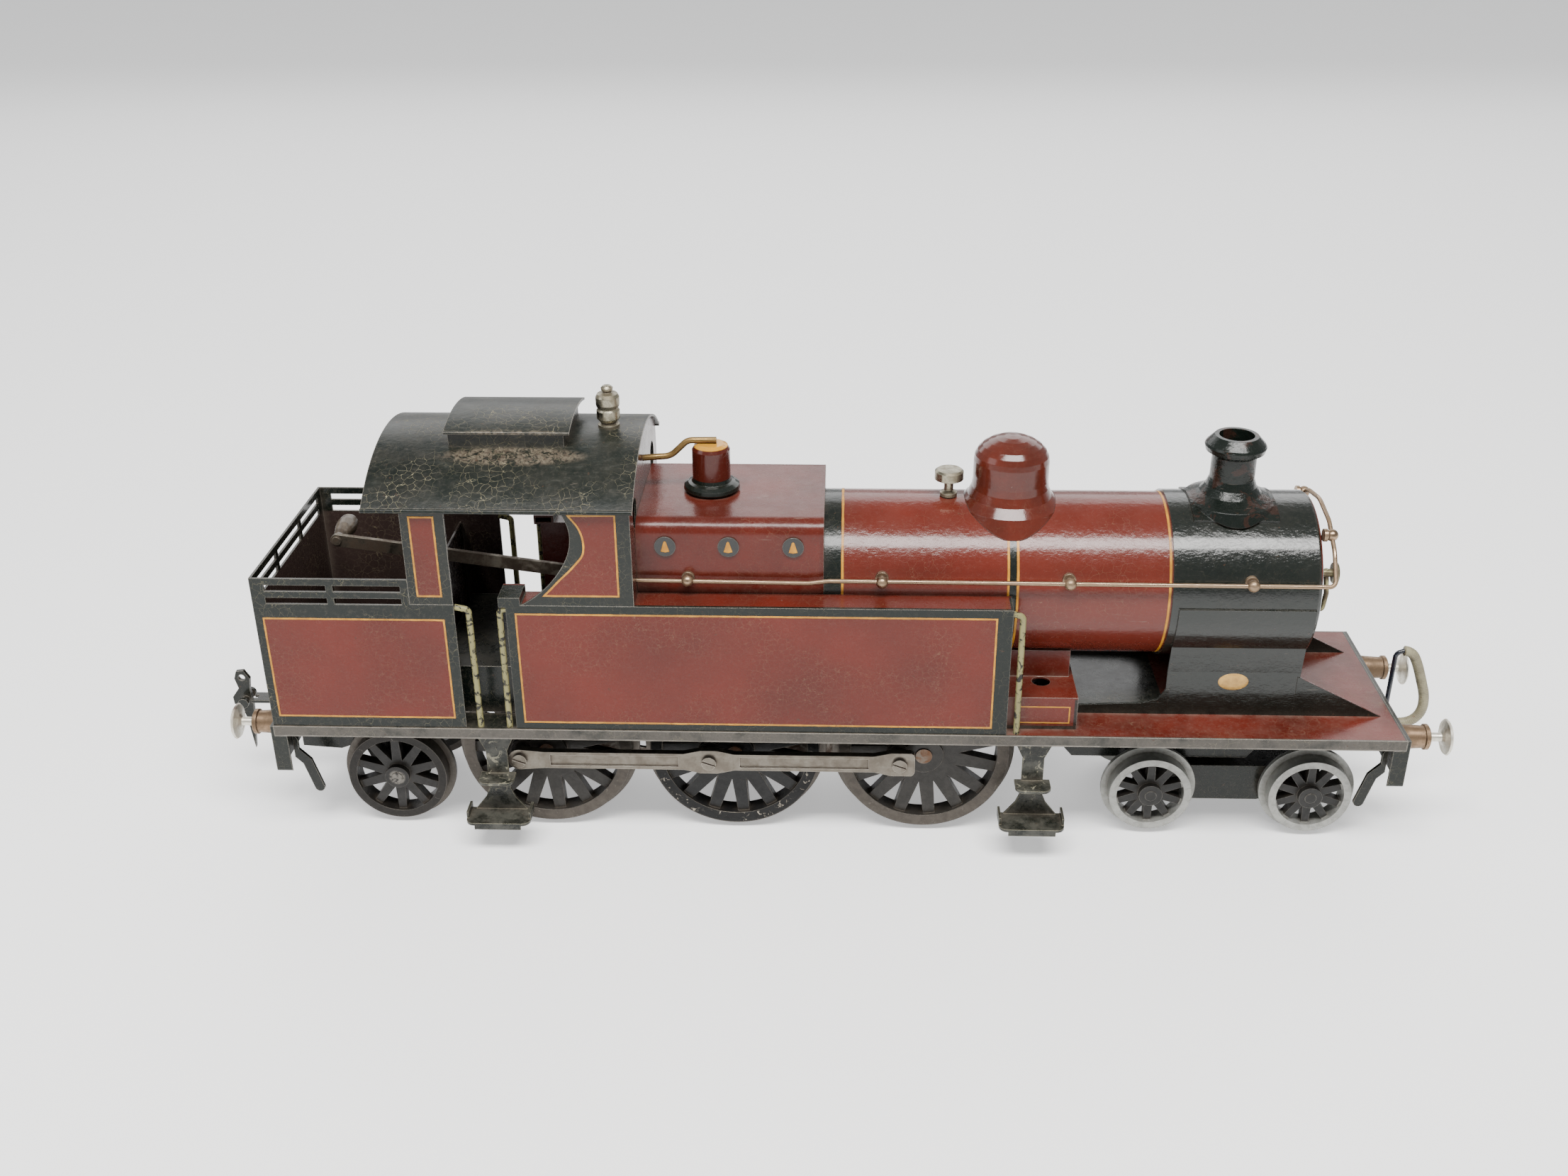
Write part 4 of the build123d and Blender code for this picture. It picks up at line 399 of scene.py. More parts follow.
def cylinder_colours(p):
    """Maroon with black round the front corner."""
    rim = p.x.above(83.2, 0.15) * p.z.below(61.0, 0.2)
    rim = rim.most(p.z.below(50.4, 0.15))
    return p.mix(rim * 0.9, p.mix(p.cloud(9.0), MAROON, MAROON_DEEP), BLACK_GREEN)


def cab_colours(p):
    """Black-green sides, and maroon on the front of the cab."""
    front = p.x.above(-67.35, 0.03) * p.y.size().below(38.9, 0.1)
    black = p.mix(p.cloud(20.0, 3.0).above(0.5, 0.2), BLACK_GREEN, BLACK_SOFT)
    return p.mix(front, black, p.mix(p.cloud(9.0, 4.0), MAROON_DEEP, (0.055, 0.022, 0.016)))


def roof_colours(p):
    """Black-green, with an old solder patch by the ventilator and dusty streaks."""
    patch_x = (p.x + 108.0).size() / 23.0
    patch_y = (p.y + 20.5).size() / 4.2
    patch = (patch_x.power(2.0) + patch_y.power(2.0)).below(1.0, 0.45)
    patch = patch * p.cloud(2.6, 5.0, 0.7, 0.8).above(0.47, 0.05)
    streaks = p.cloud(2.0, 5.0, 0.7, stretch=(0.35, 1.0, 1.0)).above(0.58, 0.08)
    streaks = streaks * p.cloud(19.0, 3.0).above(0.48, 0.1)
    black = p.mix(streaks * 0.22, BLACK_GREEN, (0.060, 0.064, 0.055))
    solder = p.mix(p.cloud(1.2, 3.0).above(0.5, 0.2), (0.050, 0.036, 0.026), (0.150, 0.125, 0.090))
    return p.mix(patch * 0.85, black, solder)


def rubbed(colour, under, size=6.0, share=0.35):
    """Paint rubbed through in patches to what is under it."""
    def colours(p):
        through = p.cloud(size, 6.0, 0.68, 0.7).above(1 - share, 0.02)
        return p.mix(through, colour, under)
    return colours


def step_colours(p):
    """Black, chipped away to old cream primer."""
    through = p.cloud(3.4, 6.0, 0.70, 0.8).above(0.60, 0.03) * p.z.above(20.0, 6.0)
    film = p.cloud(6.0, 5.0, 0.7).above(0.5, 0.12)
    black = p.mix(film * 0.7, BLACK_SOFT, (0.075, 0.074, 0.062))
    return p.mix(through * 0.8, black, (0.240, 0.225, 0.165))


def wheel_paint(name, centres, centre_z, rim, tyre, spoke, worn, chips, tread, hub_wear=0.0):
    """A cast wheel: painted centre, tyre of its own colour, bare rolling surface."""
    p = Paint(name)
    reach = None
    for centre in centres:
        dx = p.x - centre
        dz = p.z - centre_z
        distance = (dx * dx + dz * dz).root()
        reach = distance if reach is None else reach.least(distance)
    on_tyre = reach.above(rim, 0.12)
    rolling = reach.above(tread, 0.08)
    grime = p.cloud(3.0, 5.0, 0.7, 0.5)
    paint = p.mix(grime.above(0.5, 0.15) * 0.6, spoke, tuple(1.7 * c + 0.005 for c in spoke))
    hub = reach.below(rim * 0.19, 0.5) * p.cloud(2.0, 4.0, 0.7).above(0.46, 0.08) * hub_wear
    paint = p.mix(hub, paint, worn)
    ring = p.mix(grime.above(0.52, 0.12) * 0.55, tyre, tuple(0.55 * c for c in tyre))
    flakes = p.cloud(2.4, 6.0, 0.7, 0.8).above(0.655 - 0.06 * chips, 0.02) * chips
    colour = p.mix(on_tyre, paint, p.mix(flakes, ring, worn))
    rim_wear = (p.edges(0.35) + (grime - 0.5) * 1.2).above(0.5, 0.12)
    colour = p.mix(rim_wear * 0.6, colour, worn)
    colour = p.mix(rolling, colour, p.mix(grime, (0.11, 0.10, 0.088), (0.045, 0.038, 0.032)))
    dirt = p.corners(3.5).above(0.40, 0.25) * p.cloud(2.5, 3.0).above(0.40, 0.2)
    colour = p.mix(dirt * 0.45, colour, (0.10, 0.08, 0.06))
    rough = 0.36 + (p.cloud(1.6, 4.0, 0.7) - 0.5) * 0.35 + dirt * 0.3 - rim_wear * 0.08
    bare = rolling.most(on_tyre * 0.75).most(rim_wear * 0.7)
    height = ((p.cloud(1.2, 4.0, 0.6) - 0.5) * 0.10 + (p.cloud(0.4, 2.0) - 0.5) * 0.03
              - flakes * on_tyre * 0.05)
    p.raise_surface(height, 1.0, 0.30)
    return p.finish(colour, rough, bare * 0.55, 0.05, 0.2, 1.3)


DRIVER_Z = 32.8
DRIVER_XS = (-103.3, -35.5, 32.3)
BOGIE_XS = (114.4, 171.4)
BROWN_TYRE = (0.070, 0.060, 0.050)
BROWN_SPOKE = (0.020, 0.018, 0.0155)
BLACK_TYRE = (0.012, 0.012, 0.012)

paints = {
    "tank": enamel("tank_enamel", tank_colours, craze=0.25, dust=0.3),
    "bunker": enamel("bunker_enamel", bunker_colours, craze=0.5, dust=0.7),
    "boiler": enamel("boiler_enamel", boiler_colours, craze=0.2, gloss=0.22, peel=0.048, edge=0.3,
                     dust=0.3, coat=0.30),
    "firebox": enamel("firebox_enamel", firebox_colours, craze=0.25, gloss=0.26, edge=0.4,
                      dust=0.3),
    "plate": enamel("running_plate_enamel", footplate_colours, craze=0.3, edge=0.9, dust=0.9),
    "smokebox": enamel("smokebox_enamel", smokebox_colours, craze=0.05, gloss=0.20, peel=0.075,
                       dent=0.16, edge=0.08, coat=0.5, dust=0.2),
    "dome": enamel("dome_enamel", plain((0.100, 0.017, 0.009), (0.070, 0.013, 0.007), 10.0),
                   craze=0.1, gloss=0.17, peel=0.02, edge=0.25, coat=0.3, dust=0.2),
    "column": enamel("column_enamel", column_colours, craze=0.1, gloss=0.2, edge=0.2, coat=0.2,
                     dust=0.2),
    "cylinder": enamel("cylinder_enamel", cylinder_colours, craze=0.2, edge=0.6),
    "roof": enamel("roof_enamel", roof_colours, craze=0.9, craze_size=2.8, edge=1.0, chips=0.3,
                   gloss=0.33, peel=0.025, dent=0.10, dust=0.5, coat=0.0),
    "cab": enamel("cab_enamel", cab_colours, craze=0.5, craze_size=2.4, edge=0.8,
                  dust=0.4, coat=0.1),
    "chimney": enamel("chimney_enamel", rubbed(BLACK_GREEN, (0.026, 0.013, 0.009), 7.0, 0.45),
                      craze=0.0, gloss=0.24, peel=0.075, edge=0.22, chip_colour=RUST_DARK, coat=0.1,
                      chips=0.1, dust=0.1),
    "black": enamel("black_enamel", plain(BLACK_GREEN, BLACK_SOFT), craze=0.2, edge=0.7),
    "step": enamel("step_enamel", step_colours, craze=0.1, chips=0.4,
                   chip_colour=(0.26, 0.24, 0.17), edge=0.8, gloss=0.28, peel=0.05, dust=0.6),
    "plugs": enamel("plug_enamel", plain((0.008, 0.009, 0.008)), craze=0.0, gloss=0.18, edge=0.4,
                    coat=0.5),
    "rails": enamel("grab_rail_enamel",
                    rubbed((0.24, 0.22, 0.095), (0.012, 0.011, 0.009), 2.2, 0.46),
                    craze=0.1, gloss=0.34, edge=0.2, dust=0.4),
    "axle": metal("axle_steel", (0.15, 0.13, 0.11), RUST, 0.42, 0.7),
    "rod": metal("rod_steel", (0.175, 0.158, 0.132), (0.110, 0.090, 0.068), 0.30, 0.35,
                 (0.08, 1.0, 1.0), 0.3, (0.62, 0.58, 0.50), 0.3),
    "brass": metal("gear_brass", (0.52, 0.38, 0.16), (0.22, 0.13, 0.05), 0.34, 0.5),
    "frame": metal("mechanism_steel", (0.20, 0.19, 0.17), RUST_DARK, 0.45, 0.6),
    "spring": metal("spring_steel", (0.10, 0.11, 0.14), (0.07, 0.05, 0.04), 0.30, 0.5),
    "buffer": metal("buffer_brass", (0.30, 0.20, 0.125), (0.13, 0.085, 0.05), 0.34, 0.6,
                    (1.0, 0.1, 0.1), 0.5, (0.50, 0.38, 0.26)),
    "nickel": metal("dull_nickel", (0.31, 0.285, 0.215), (0.15, 0.12, 0.075), 0.24, 0.4),
    "heads": metal("buffer_head_nickel", (0.80, 0.77, 0.68), (0.50, 0.45, 0.35), 0.34, 0.35,
                   (1.0, 1.0, 1.0), 0.3, (0.92, 0.90, 0.84), 0.3),
    "handrail": metal("handrail_brass", (0.33, 0.235, 0.155), (0.22, 0.15, 0.09), 0.26, 0.5,
                      (0.05, 1.0, 1.0), 0.3, (0.62, 0.52, 0.38)),
    "gilt": metal("gilt_wire", (0.26, 0.165, 0.060), (0.17, 0.105, 0.035), 0.32, 0.45),
    "key": metal("key_steel", (0.165, 0.145, 0.115), (0.085, 0.060, 0.042), 0.42, 0.6,
                 (0.1, 1.0, 1.0), 0.7, (0.30, 0.27, 0.22)),
    "handle": metal("door_handle_metal", (0.26, 0.24, 0.13), (0.10, 0.075, 0.05), 0.34, 0.6),
    "hose_pipe": enamel("standpipe_enamel", plain((0.010, 0.013, 0.022)), craze=0.0, gloss=0.14,
                        edge=0.2, coat=0.6),
    "wheel_driver": wheel_paint("driver_casting", DRIVER_XS, DRIVER_Z, 26.4, BROWN_TYRE,
                                BROWN_SPOKE, (0.22, 0.195, 0.165), 0.3, 30.2),
    "wheel_middle": wheel_paint("middle_driver_casting", DRIVER_XS, DRIVER_Z, 26.4, BLACK_TYRE,
                                (0.008, 0.008, 0.008), (0.36, 0.32, 0.26), 0.75, 30.2),
    "wheel_trailing": wheel_paint("trailing_casting", (-159.4,), 20.3, 14.9, (0.020, 0.018, 0.016),
                                  (0.014, 0.013, 0.012), (0.20, 0.185, 0.16), 0.3, 17.8, 0.8),
    "wheel_bogie": wheel_paint("bogie_casting", BOGIE_XS, 17.0, 11.55, (0.30, 0.30, 0.28),
                               (0.014, 0.0135, 0.0125), (0.30, 0.285, 0.255), 0.0, 20.0),
}


def grip_finish():
    """The crank's turned grip, dark brown and polished by handling."""
    p = Paint("grip_wood")
    grain = p.cloud(0.9, 4.0, 0.6, 0.3, stretch=(1.0, 0.16, 1.0))
    colour = p.mix(grain.above(0.5, 0.25), (0.070, 0.050, 0.030), (0.032, 0.021, 0.013))
    worn = p.cloud(3.2, 4.0, 0.7).above(0.58, 0.08)
    colour = p.mix(worn * 0.4, colour, (0.150, 0.120, 0.085))
    # Painted shade: deep in the grip's corners the colour is mixed towards dark brown.
    colour = p.mix(p.corners(2.0).above(0.45, 0.25) * 0.7, colour, RUST_DARK)
    p.raise_surface((grain - 0.5) * 0.05 - worn * 0.02, 1.0, 0.2)
    return p.finish(colour, 0.36 + worn * 0.15, 0.0, 0.2, 0.2)


paints["grip"] = grip_finish()

finishes = {
    "side_tanks": "tank", "bunker": "bunker", "boiler": "boiler", "firebox": "firebox",
    "footplate": "plate", "smokebox": "smokebox", "smokebox_front": "smokebox", "dome": "dome",
    "steam_column": "column", "cylinder_box": "cylinder", "cab_roof": "roof",
    "roof_ventilator": "roof", "cab_shell": "cab", "chimney": "chimney", "buffer_beams": "black",
    "end_frames": "black", "bogie_frame": "black", "footsteps": "step", "guard_irons": "black",
    "washout_plugs": "plugs", "grab_rails": "rails", "driving_axle_front": "axle",
    "driving_axle_middle": "axle", "driving_axle_rear": "axle", "bogie_pivot": "axle",
    "mechanism_pillars": "axle", "spring_arbor": "axle", "governor": "axle",
    "crank_pins_front": "rod", "crank_pins_middle": "rod", "crank_pins_rear": "rod",
    "coupling_rod_near": "rod", "coupling_rod_far": "rod", "great_wheel": "brass",
    "second_wheel": "brass", "mechanism_plates": "frame", "mainspring": "spring",
    "buffer_housings": "buffer", "buffer_front_near": "heads", "buffer_front_far": "heads",
    "buffer_rear_near": "heads", "buffer_rear_far": "heads", "roof_whistle": "nickel",
    "thumb_screw": "nickel", "handrail": "handrail", "handrail_knobs": "handrail",
    "steam_pipe": "gilt", "winding_crank": "key", "crank_grip": "grip", "door_handle": "handle",
    "hose_pipe": "hose_pipe", "hook_bracket": "black", "coupling_hook": "black",
    "driving_wheels_front": "wheel_driver", "driving_wheels_rear": "wheel_driver",
    "driving_wheels_middle": "wheel_middle", "trailing_wheelset": "wheel_trailing",
    "bogie_wheelset_front": "wheel_bogie", "bogie_wheelset_rear": "wheel_bogie",
}
for node_name, finish_name in finishes.items():
    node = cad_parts[node_name]
    for material_slot in node.material_slots:
        material_slot.material = paints[finish_name]


# ---- mesh building --------------------------------------------------------------------
def piece(name, mesh_data, material, body="loco", smooth=False):
    """A new object made from a bmesh, riding on a body."""
    bmesh.ops.recalc_face_normals(mesh_data, faces=mesh_data.faces)
    mesh = bpy.data.meshes.new(name)
    mesh_data.to_mesh(mesh)
    mesh_data.free()
    mesh.materials.append(material)
    made = bpy.data.objects.new(name, mesh)
    bpy.context.scene.collection.objects.link(made)
    if smooth:
        for polygon in mesh.polygons:
            polygon.use_smooth = True
    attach(made, body)
    return made


def catmull(points, steps):
    """A smooth line through the points."""
    out = []
    count = len(points)
    for i in range(count - 1):
        before = points[max(0, i - 1)]
        start = points[i]
        end = points[i + 1]
        after = points[min(count - 1, i + 2)]
        for step in range(steps):
            t = step / steps
            out.append(tuple(
                0.5 * (2 * b + (c - a) * t + (2 * a - 5 * b + 4 * c - d) * t * t
                       + (3 * b - a - 3 * c + d) * t ** 3)
                for a, b, c, d in zip(before, start, end, after)))
    out.append(tuple(points[-1]))
    return out


def divided(points, closed, step):
    """The line's points with more added on its long runs."""
    out = []
    last = len(points) if closed else len(points) - 1
    for i in range(last):
        a = Vector(points[i])
        b = Vector(points[(i + 1) % len(points)])
        pieces = max(1, int((b - a).length / step))
        for k in range(pieces):
            out.append(tuple(a.lerp(b, k / pieces)))
    if not closed:
        out.append(tuple(points[-1]))
    return out


def flat_line(points, closed, width, wobble=0.07, seed=0.0):
    """A painted line's two edges, as a list of (left, right) pairs on a plane."""
    count = len(points)
    pairs = []
    for i, (u, v) in enumerate(points):
        here = Vector((u, v))
        ahead = Vector(points[(i + 1) % count]) if closed or i + 1 < count else None
        behind = Vector(points[i - 1]) if closed or i > 0 else None
        first = (here - behind).normalized() if behind is not None else None
        second = (ahead - here).normalized() if ahead is not None else None
        first = first or second
        second = second or first
        normal = Vector((-first.y, first.x)) + Vector((-second.y, second.x))
        normal.normalize()
        cosine = max(0.35, normal.dot(Vector((-first.y, first.x))))
        sway = wobble * noise.noise(Vector((u * 0.35, v * 0.35, seed)))
        half = width / 2 * (1 + 0.22 * noise.noise(Vector((u * 0.9, v * 0.9, seed + 9.0))))
        left = here + normal * (half / cosine + sway)
        right = here - normal * (half / cosine - sway)
        pairs.append((left, right))
    return pairs


def strip(mesh_data, rings, closed):
    """Join cross-sections, each a list of vertices, into a closed tube of faces."""
    rows = [[mesh_data.verts.new(point) for point in ring] for ring in rings]
    count = len(rows)
    size = len(rows[0])
    for i in range(count if closed else count - 1):
        near = rows[i]
        far = rows[(i + 1) % count]
        for k in range(size):
            mesh_data.faces.new((near[k], near[(k + 1) % size], far[(k + 1) % size], far[k]))
    if not closed:
        mesh_data.faces.new(rows[0][::-1])
        mesh_data.faces.new(rows[-1])


LINE_LIFT = 0.085
FILM_LIFT = 0.045
PAINT_SINK = -0.02


def side_point(side, depth):
    """Places (x, z) on a side sheet at that depth from the middle."""
    return lambda u, v, lift: metres(u, side * (depth + lift), v)


def end_point(face_x, way):
    """Places (y, z) on an end sheet."""
    return lambda u, v, lift: metres(face_x + way * lift, u, v)


def painted_line(mesh_data, place, points, closed=True, width=0.85, seed=0.0):
    """A raised line of paint along the points."""
    fine = divided(points, closed, 1.6)
    rings = []
    for left, right in flat_line(fine, closed, width, seed=seed):
        rings.append([place(*left, PAINT_SINK), place(*left, LINE_LIFT),
                      place(*right, LINE_LIFT), place(*right, PAINT_SINK)])
    strip(mesh_data, rings, closed)


def painted_panel(mesh_data, place, points):
    """A film of paint with straight or curved edges."""
    top = [mesh_data.verts.new(place(u, v, FILM_LIFT)) for u, v in points]
    bottom = [mesh_data.verts.new(place(u, v, PAINT_SINK)) for u, v in points]
    count = len(points)
    mesh_data.faces.new(top)
    mesh_data.faces.new(bottom[::-1])
    for i in range(count):
        j = (i + 1) % count
        mesh_data.faces.new((top[i], bottom[i], bottom[j], top[j]))


def rectangle(left, right, low, high):
    return [(left, low), (right, low), (right, high), (left, high)]


KEYHOLE = (-35.5, 75.0)
KEYHOLE_RADIUS = 4.6


def round_the_keyhole(left, right, low, high):
    """Both halves of a rectangle with a round hole on the line between them."""
    arc = [math.radians(-90 + 15 * step) for step in range(13)]
    x, z = KEYHOLE
    front = [(x + KEYHOLE_RADIUS * math.cos(a), z + KEYHOLE_RADIUS * math.sin(a)) for a in arc]
    rear = [(2 * x - u, v) for u, v in front]
    return [[(x, low), (right, low), (right, high), (x, high)] + front[::-1],
            [(x, high), (left, high), (left, low), (x, low)] + rear]


CAB_CURVE = [(-97.2, 101.3), (-92.5, 106.3), (-87.3, 111.6), (-83.6, 116.2), (-82.9, 120.6),
             (-84.0, 125.7), (-87.3, 130.7)]
CAB_PANEL = catmull(CAB_CURVE, 6) + [(-72.1, 130.9), (-72.2, 101.3)]
BODY_SIDE = 39.4
CYLINDER_SIDE = 35.0

line_paint = enamel("lining_yellow", plain(YELLOW, YELLOW_OLD, 4.0, 0.55), craze=0.3, chips=0.7,
                    chip_colour=RUST, gloss=0.32, peel=0.02, edge=0.0, dust=0.5, coat=0.1)
panel_paint = enamel("panel_maroon", plain(MAROON, (0.100, 0.0145, 0.0085), 30.0), craze=0.25,
                     craze_size=2.0, chips=0.3, chip_colour=RUST_DARK, gloss=0.27, peel=0.03,
                     dent=0.12, edge=0.0, dust=0.35)

# Each outline is its left, right, low and high edge.
TANK_PANEL = (-107.5, 54.3, 51.9, 94.2)
BUNKER_PANEL = (-194.0, -132.2, 53.2, 91.6)
POST_PANEL = (-140.1, -132.1, 100.7, 129.7)
CYLINDER_PANEL = (64.0, 81.6, 51.6, 57.9)
REAR_PANEL = (-34.2, 34.2, 53.2, 91.6)
REAR_FACE_X = -197.0
LINING_WIDTH = 0.66
CYLINDER_LINING_WIDTH = 0.5


def lined_panel(panel, where, place, outlines, border, width, seed):
    """A film of paint in one or more outlines, with a line round its border."""
    film = bmesh.new()
    for outline in outlines:
        painted_panel(film, place, outline)
    piece(f"{panel}_panel_{where}", film, panel_paint)
    line = bmesh.new()
    painted_line(line, place, border, True, width, seed=seed)
    piece(f"{panel}_lining_{where}", line, line_paint)


for side, word in ((-1, "near"), (1, "far")):
    sheet_place = side_point(side, BODY_SIDE)
    cylinder_place = side_point(side, CYLINDER_SIDE)
    panels = {
        "tank": (sheet_place, rectangle(*TANK_PANEL), LINING_WIDTH),
        "bunker": (sheet_place, rectangle(*BUNKER_PANEL), LINING_WIDTH),
        "post": (sheet_place, rectangle(*POST_PANEL), LINING_WIDTH),
        "cab": (sheet_place, CAB_PANEL, LINING_WIDTH),
        "cylinder": (cylinder_place, rectangle(*CYLINDER_PANEL), CYLINDER_LINING_WIDTH),
    }
    for panel_name, (place, points, width) in panels.items():
        keyed = (panel_name, word) == ("tank", "far")
        outlines = round_the_keyhole(*TANK_PANEL) if keyed else [points]
        lined_panel(panel_name, word, place, outlines, points, width, 3.0 * side)

rear_points = rectangle(*REAR_PANEL)
lined_panel("bunker", "rear", end_point(REAR_FACE_X, -1), [rear_points], rear_points,
            LINING_WIDTH, 7.0)

BOILER_Z = 93.6
BOILER_R = 28.5
HOOP_WIDTH = 0.85
HOOP_SINK = -0.03
HOOP_END = 172.0
HOOP_STEPS = 120


def hoop(name, x):
    """A painted ring round the boiler, open underneath."""
    data = bmesh.new()
    rings = []
    for i in range(HOOP_STEPS + 1):
        angle = math.radians(-HOOP_END + 2 * HOOP_END * i / HOOP_STEPS)
        sway = 0.06 * noise.noise(Vector((x, angle * 3.0, 0.0)))
        half = HOOP_WIDTH / 2 * (1 + 0.2 * noise.noise(Vector((x, angle * 7.0, 5.0))))
        ring = []
        for dx, reach in ((-half, HOOP_SINK), (-half, LINE_LIFT), (half, LINE_LIFT),
                          (half, HOOP_SINK)):
            r = BOILER_R + reach
            ring.append(metres(x + sway + dx, r * math.sin(angle), BOILER_Z + r * math.cos(angle)))
        rings.append(ring)
    strip(data, rings, False)
    piece(name, data, line_paint)


for hoop_place, hoop_x in (("rear", 2.5), ("middle_rear", 58.7), ("middle_front", 61.9),
                           ("front", 113.1)):
    hoop(f"boiler_line_{hoop_place}", hoop_x)


# ---- gold triangles on the washout plugs ------------------------------------------------
PLUG_XS = (-57.3, -36.0, -14.1)
PLUG_Z = 114.8
plug_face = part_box("washout_plugs")[1][1] * 1000.0
for side, word in ((-1, "near"), (1, "far")):
    for number, plug_x in enumerate(PLUG_XS):
        data = bmesh.new()
        shape = [(-1.45, -1.75), (0.0, -2.05), (1.45, -1.75), (0.42, 1.65), (0.0, 1.95),
                 (-0.42, 1.65)]
        place = side_point(side, plug_face)
        top = [data.verts.new(place(plug_x + u, PLUG_Z + v, 0.12)) for u, v in shape]
        foot = [data.verts.new(place(plug_x + 1.08 * u, PLUG_Z + 1.08 * v, -0.05))
                for u, v in shape]
        data.faces.new(top)
        data.faces.new(foot[::-1])
        for i in range(len(shape)):
            j = (i + 1) % len(shape)
            data.faces.new((top[i], foot[i], foot[j], top[j]))
        piece(f"plug_triangle_{word}_{number}", data, line_paint)


# ---- a plain oval plate on each side of the saddle --------------------------------------
def surface_of(node_name):
    """A search tree over one CAD node's mesh."""
    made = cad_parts[node_name]
    data = bmesh.new()
    data.from_mesh(made.data)
    data.transform(made.matrix_world)
    tree = BVHTree.FromBMesh(data)
    data.free()
    return tree


saddle_tree = surface_of("smokebox")
PLATE_X = 139.5
PLATE_Z = 62.2
PLATE_HALF_LENGTH = 5.3
PLATE_HALF_HEIGHT = 3.3
plate_paint = enamel("maker_plate_enamel", plain((0.60, 0.36, 0.10), (0.42, 0.24, 0.07), 3.0),
                     craze=0.4, craze_size=1.4, chips=0.6, chip_colour=RUST, gloss=0.30,
                     peel=0.02, edge=0.3, coat=0.2)
for side, word in ((-1, "near"), (1, "far")):
    data = bmesh.new()
    rows = []
    for ring, (share, lift) in enumerate(((0.0, 0.20), (0.5, 0.20), (0.86, 0.20), (0.90, 0.12),
                                          (0.97, 0.12), (1.0, 0.0), (1.02, -0.1))):
        row = []
        for k in range(40):
            angle = 2 * math.pi * k / 40
            x = PLATE_X + share * PLATE_HALF_LENGTH * math.cos(angle)
            z = PLATE_Z + share * PLATE_HALF_HEIGHT * math.sin(angle)
            start = metres(x, side * 60.0, z)
            hit, normal, _, _ = saddle_tree.ray_cast(start, Vector((0, -side, 0)))
            if hit is None:
                hit = metres(x, side * 25.0, z)
                normal = Vector((0, side, 0))
            if normal.y * side < 0:
                normal = -normal
            row.append(hit + normal * lift * MM)
            if ring == 0:
                break
        rows.append([data.verts.new(point) for point in row])
    for k in range(40):
        j = (k + 1) % 40
        data.faces.new((rows[0][0], rows[1][k], rows[1][j]))
        for inner, outer in zip(rows[1:], rows[2:]):
            data.faces.new((inner[k], outer[k], outer[j], inner[j]))
    data.faces.new(rows[-1][::-1])
    piece(f"oval_plate_{word}", data, plate_paint, smooth=True)


# ---- ribbed brake hose --------------------------------------------------------------------
HOSE_ROUTE = ((7.6, 62.6), (10.4, 62.3), (13.0, 57.6), (15.6, 50.4), (18.0, 43.4), (17.9, 36.8),
              (14.4, 32.8), (8.4, 32.2), (0.0, 32.5))
HOSE_RADIUS = 1.85
RIB_PITCH = 0.72
PLAIN_END = 1.6
beam_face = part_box("buffer_beams")[1][0]


def route_line(points):
    """Points along the smooth NURBS line that has these control points."""
    curve = bpy.data.curves.new("hose_route", "CURVE")
    curve.dimensions = "3D"
    curve.resolution_u = 24
    spline = curve.splines.new("NURBS")
    spline.points.add(len(points) - 1)
    for point, place in zip(spline.points, points):
        point.co = (*place, 1.0)
    spline.order_u = 3
    spline.use_endpoint_u = True
    holder = bpy.data.objects.new("hose_route", curve)
    bpy.context.scene.collection.objects.link(holder)
    bpy.context.view_layer.update()
    mesh = bpy.data.meshes.new_from_object(holder)
    line = [vertex.co.copy() for vertex in mesh.vertices]
    bpy.data.objects.remove(holder)
    bpy.data.meshes.remove(mesh)
    bpy.data.curves.remove(curve)
    return line


def evenly(line, step):
    """Points the same distance apart along a line."""
    lengths = [0.0]
    for a, b in zip(line, line[1:]):
        lengths.append(lengths[-1] + (b - a).length)
    total = lengths[-1]
    count = int(total / step)
    out = []
    index = 0
    for i in range(count + 1):
        target = total * i / count
        while index < len(lengths) - 2 and lengths[index + 1] < target:
            index += 1
        span = lengths[index + 1] - lengths[index]
        out.append(line[index].lerp(line[index + 1], (target - lengths[index]) / span))
    return out, total


hose_points = [Vector((beam_face + x * MM, 0.0, z * MM)) for x, z in HOSE_ROUTE]
hose_line = route_line(hose_points)
hose_samples, hose_length = evenly(hose_line, 0.14 * MM)
hose_data = bmesh.new()
hose_rings = []
for i, point in enumerate(hose_samples):
    ahead = hose_samples[min(i + 1, len(hose_samples) - 1)]
    behind = hose_samples[max(i - 1, 0)]
    along = (ahead - behind).normalized()
    side_way = Vector((0, 1, 0))
    up_way = along.cross(side_way).normalized()
    distance = i * hose_length / (len(hose_samples) - 1) / MM
    wave = abs(math.sin(math.pi * distance / RIB_PITCH)) ** 0.6
    near_end = min(distance, hose_length / MM - distance)
    radius = HOSE_RADIUS
    if near_end >= PLAIN_END:
        radius = HOSE_RADIUS * (0.90 + 0.10 * wave)
    ring = []
    for k in range(20):
        angle = 2 * math.pi * k / 20
        ring.append(point + (side_way * math.cos(angle) + up_way * math.sin(angle)) * radius * MM)
    hose_rings.append(ring)
strip(hose_data, hose_rings, False)


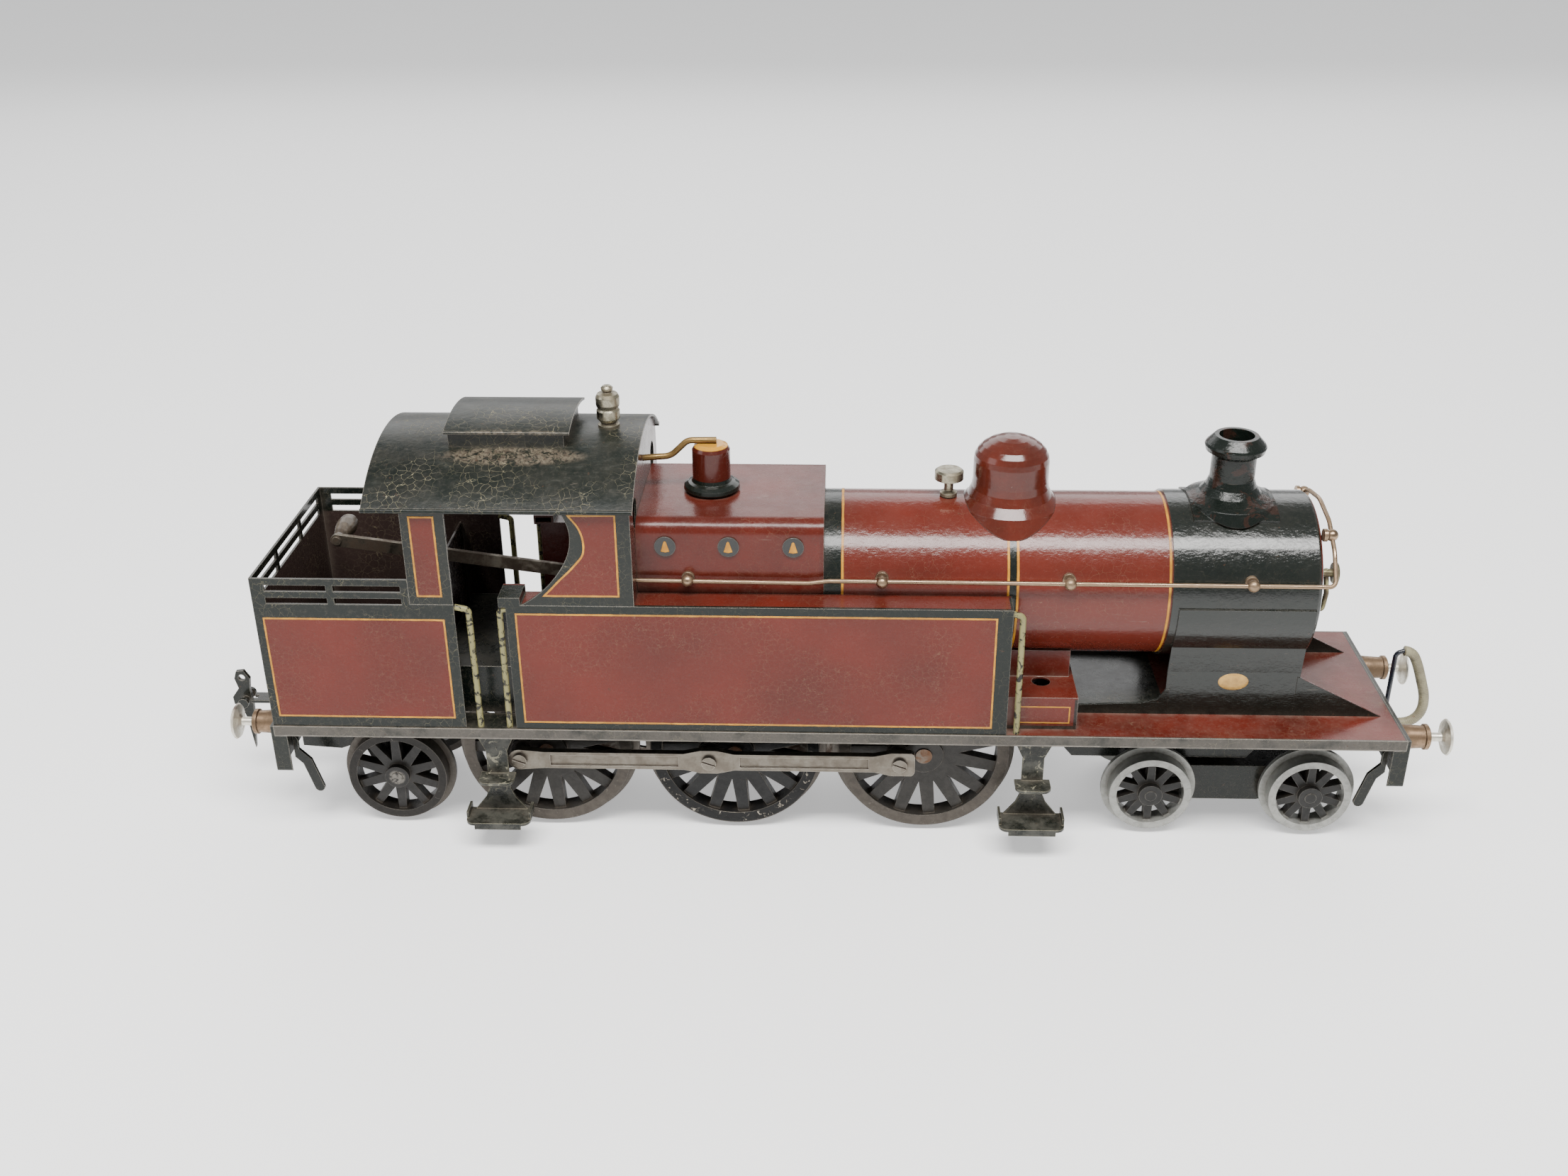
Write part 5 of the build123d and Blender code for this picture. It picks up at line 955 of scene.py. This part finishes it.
def hose_finish():
    """Cream-grey ribbed covering, with painted shade in the grooves."""
    p = Paint("hose_covering")
    weave = p.cloud(0.5, 3.0, 0.6)
    patches = p.cloud(4.0, 4.0, 0.7).above(0.5, 0.2)
    colour = p.mix(patches, (0.26, 0.235, 0.145), (0.17, 0.15, 0.095))
    # Painted shade: in the grooves and corners the colour is mixed towards dark brown.
    colour = p.mix(p.corners(0.9).above(0.25, 0.2) * 0.7, colour, (0.07, 0.055, 0.04))
    colour = p.mix(p.cloud(1.6, 5.0, 0.7).above(0.66, 0.04) * 0.6, colour, RUST)
    p.raise_surface((weave - 0.5) * 0.08)
    return p.finish(colour, 0.55 + (weave - 0.5) * 0.3, 0.0, 0.05, 0.3)


hose = piece("brake_hose_ribbed", hose_data, hose_finish(), smooth=True)
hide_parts("brake_hose")


# ---- floor, light and camera ----------------------------------------------------------
def floor_finish():
    """A pale floor that glows a little, as the photograph's white table does."""
    p = Paint("pale_floor")
    tone = p.cloud(160.0, 4.0, 0.5)
    colour = p.mix(tone.above(0.5, 0.3) * 0.5, (0.90, 0.90, 0.90), (0.87, 0.872, 0.875))
    p.raise_surface((p.cloud(5.0, 4.0) - 0.5) * 0.05)
    p.shader.inputs["Emission Color"].default_value = (1.0, 1.0, 1.0, 1.0)
    p.shader.inputs["Emission Strength"].default_value = 0.45
    return p.finish(colour, 0.55 + (tone - 0.5) * 0.1)


floor_mesh = bpy.data.meshes.new("floor")
floor_data = bmesh.new()
bmesh.ops.create_circle(floor_data, cap_ends=True, radius=9.0, segments=96)
floor_data.to_mesh(floor_mesh)
floor_data.free()
floor_mesh.materials.append(floor_finish())
floor = bpy.data.objects.new("floor", floor_mesh)
bpy.context.scene.collection.objects.link(floor)
floor.location = (0.0, 0.0, -0.00005)

world = bpy.data.worlds.new("studio")
bpy.context.scene.world = world
world.use_nodes = True
background = world.node_tree.nodes["Background"]
background.inputs["Color"].default_value = (0.98, 0.99, 1.0, 1.0)
background.inputs["Strength"].default_value = 0.45


def area_light(name, place, target, width, depth, power, colour=(1.0, 1.0, 1.0)):
    """A rectangular light at a place in metres, turned to its target."""
    data = bpy.data.lights.new(name, "AREA")
    data.shape = "RECTANGLE"
    data.size = width
    data.size_y = depth
    data.energy = power
    data.color = colour
    lamp = bpy.data.objects.new(name, data)
    lamp.location = place
    direction = Vector(target) - Vector(place)
    lamp.rotation_euler = direction.to_track_quat("-Z", "Y").to_euler()
    bpy.context.scene.collection.objects.link(lamp)


area_light("window_light", (0.05, -0.62, 1.35), (0.02, 0.0, 0.05), 1.3, 0.38, 46.0,
           (1.0, 0.99, 0.97))
area_light("back_light", (0.0, 1.35, 0.85), (0.0, 0.0, 0.08), 2.4, 0.8, 14.0)
area_light("side_light", (-1.5, -0.5, 1.1), (0.0, 0.0, 0.05), 0.8, 0.8, 6.0, (0.97, 0.985, 1.0))

camera_data = bpy.data.cameras.new("camera")
camera = bpy.data.objects.new("camera", camera_data)
bpy.context.scene.collection.objects.link(camera)
FOCAL_PIXELS = 2241.34
IMAGE_WIDTH = 2212.0
AZIMUTH = math.radians(2.301)
ELEVATION = math.radians(26.606)
ROLL = math.radians(-0.4447)
forward = Vector((-math.sin(AZIMUTH) * math.cos(ELEVATION),
                  math.cos(AZIMUTH) * math.cos(ELEVATION), -math.sin(ELEVATION)))
level = Vector((math.cos(AZIMUTH), math.sin(AZIMUTH), 0.0))
upward = level.cross(forward)
right = level * math.cos(ROLL) + upward * math.sin(ROLL)
over = upward * math.cos(ROLL) - level * math.sin(ROLL)
turn = Matrix((right, over, -forward)).transposed().to_4x4()
camera.matrix_world = Matrix.Translation(metres(2.12, -510.87, 341.50)) @ turn
camera_data.sensor_width = 36.0
camera_data.lens = 36.0 * FOCAL_PIXELS / IMAGE_WIDTH
camera_data.clip_start = 0.01
camera_data.clip_end = 50.0
bpy.context.scene.camera = camera
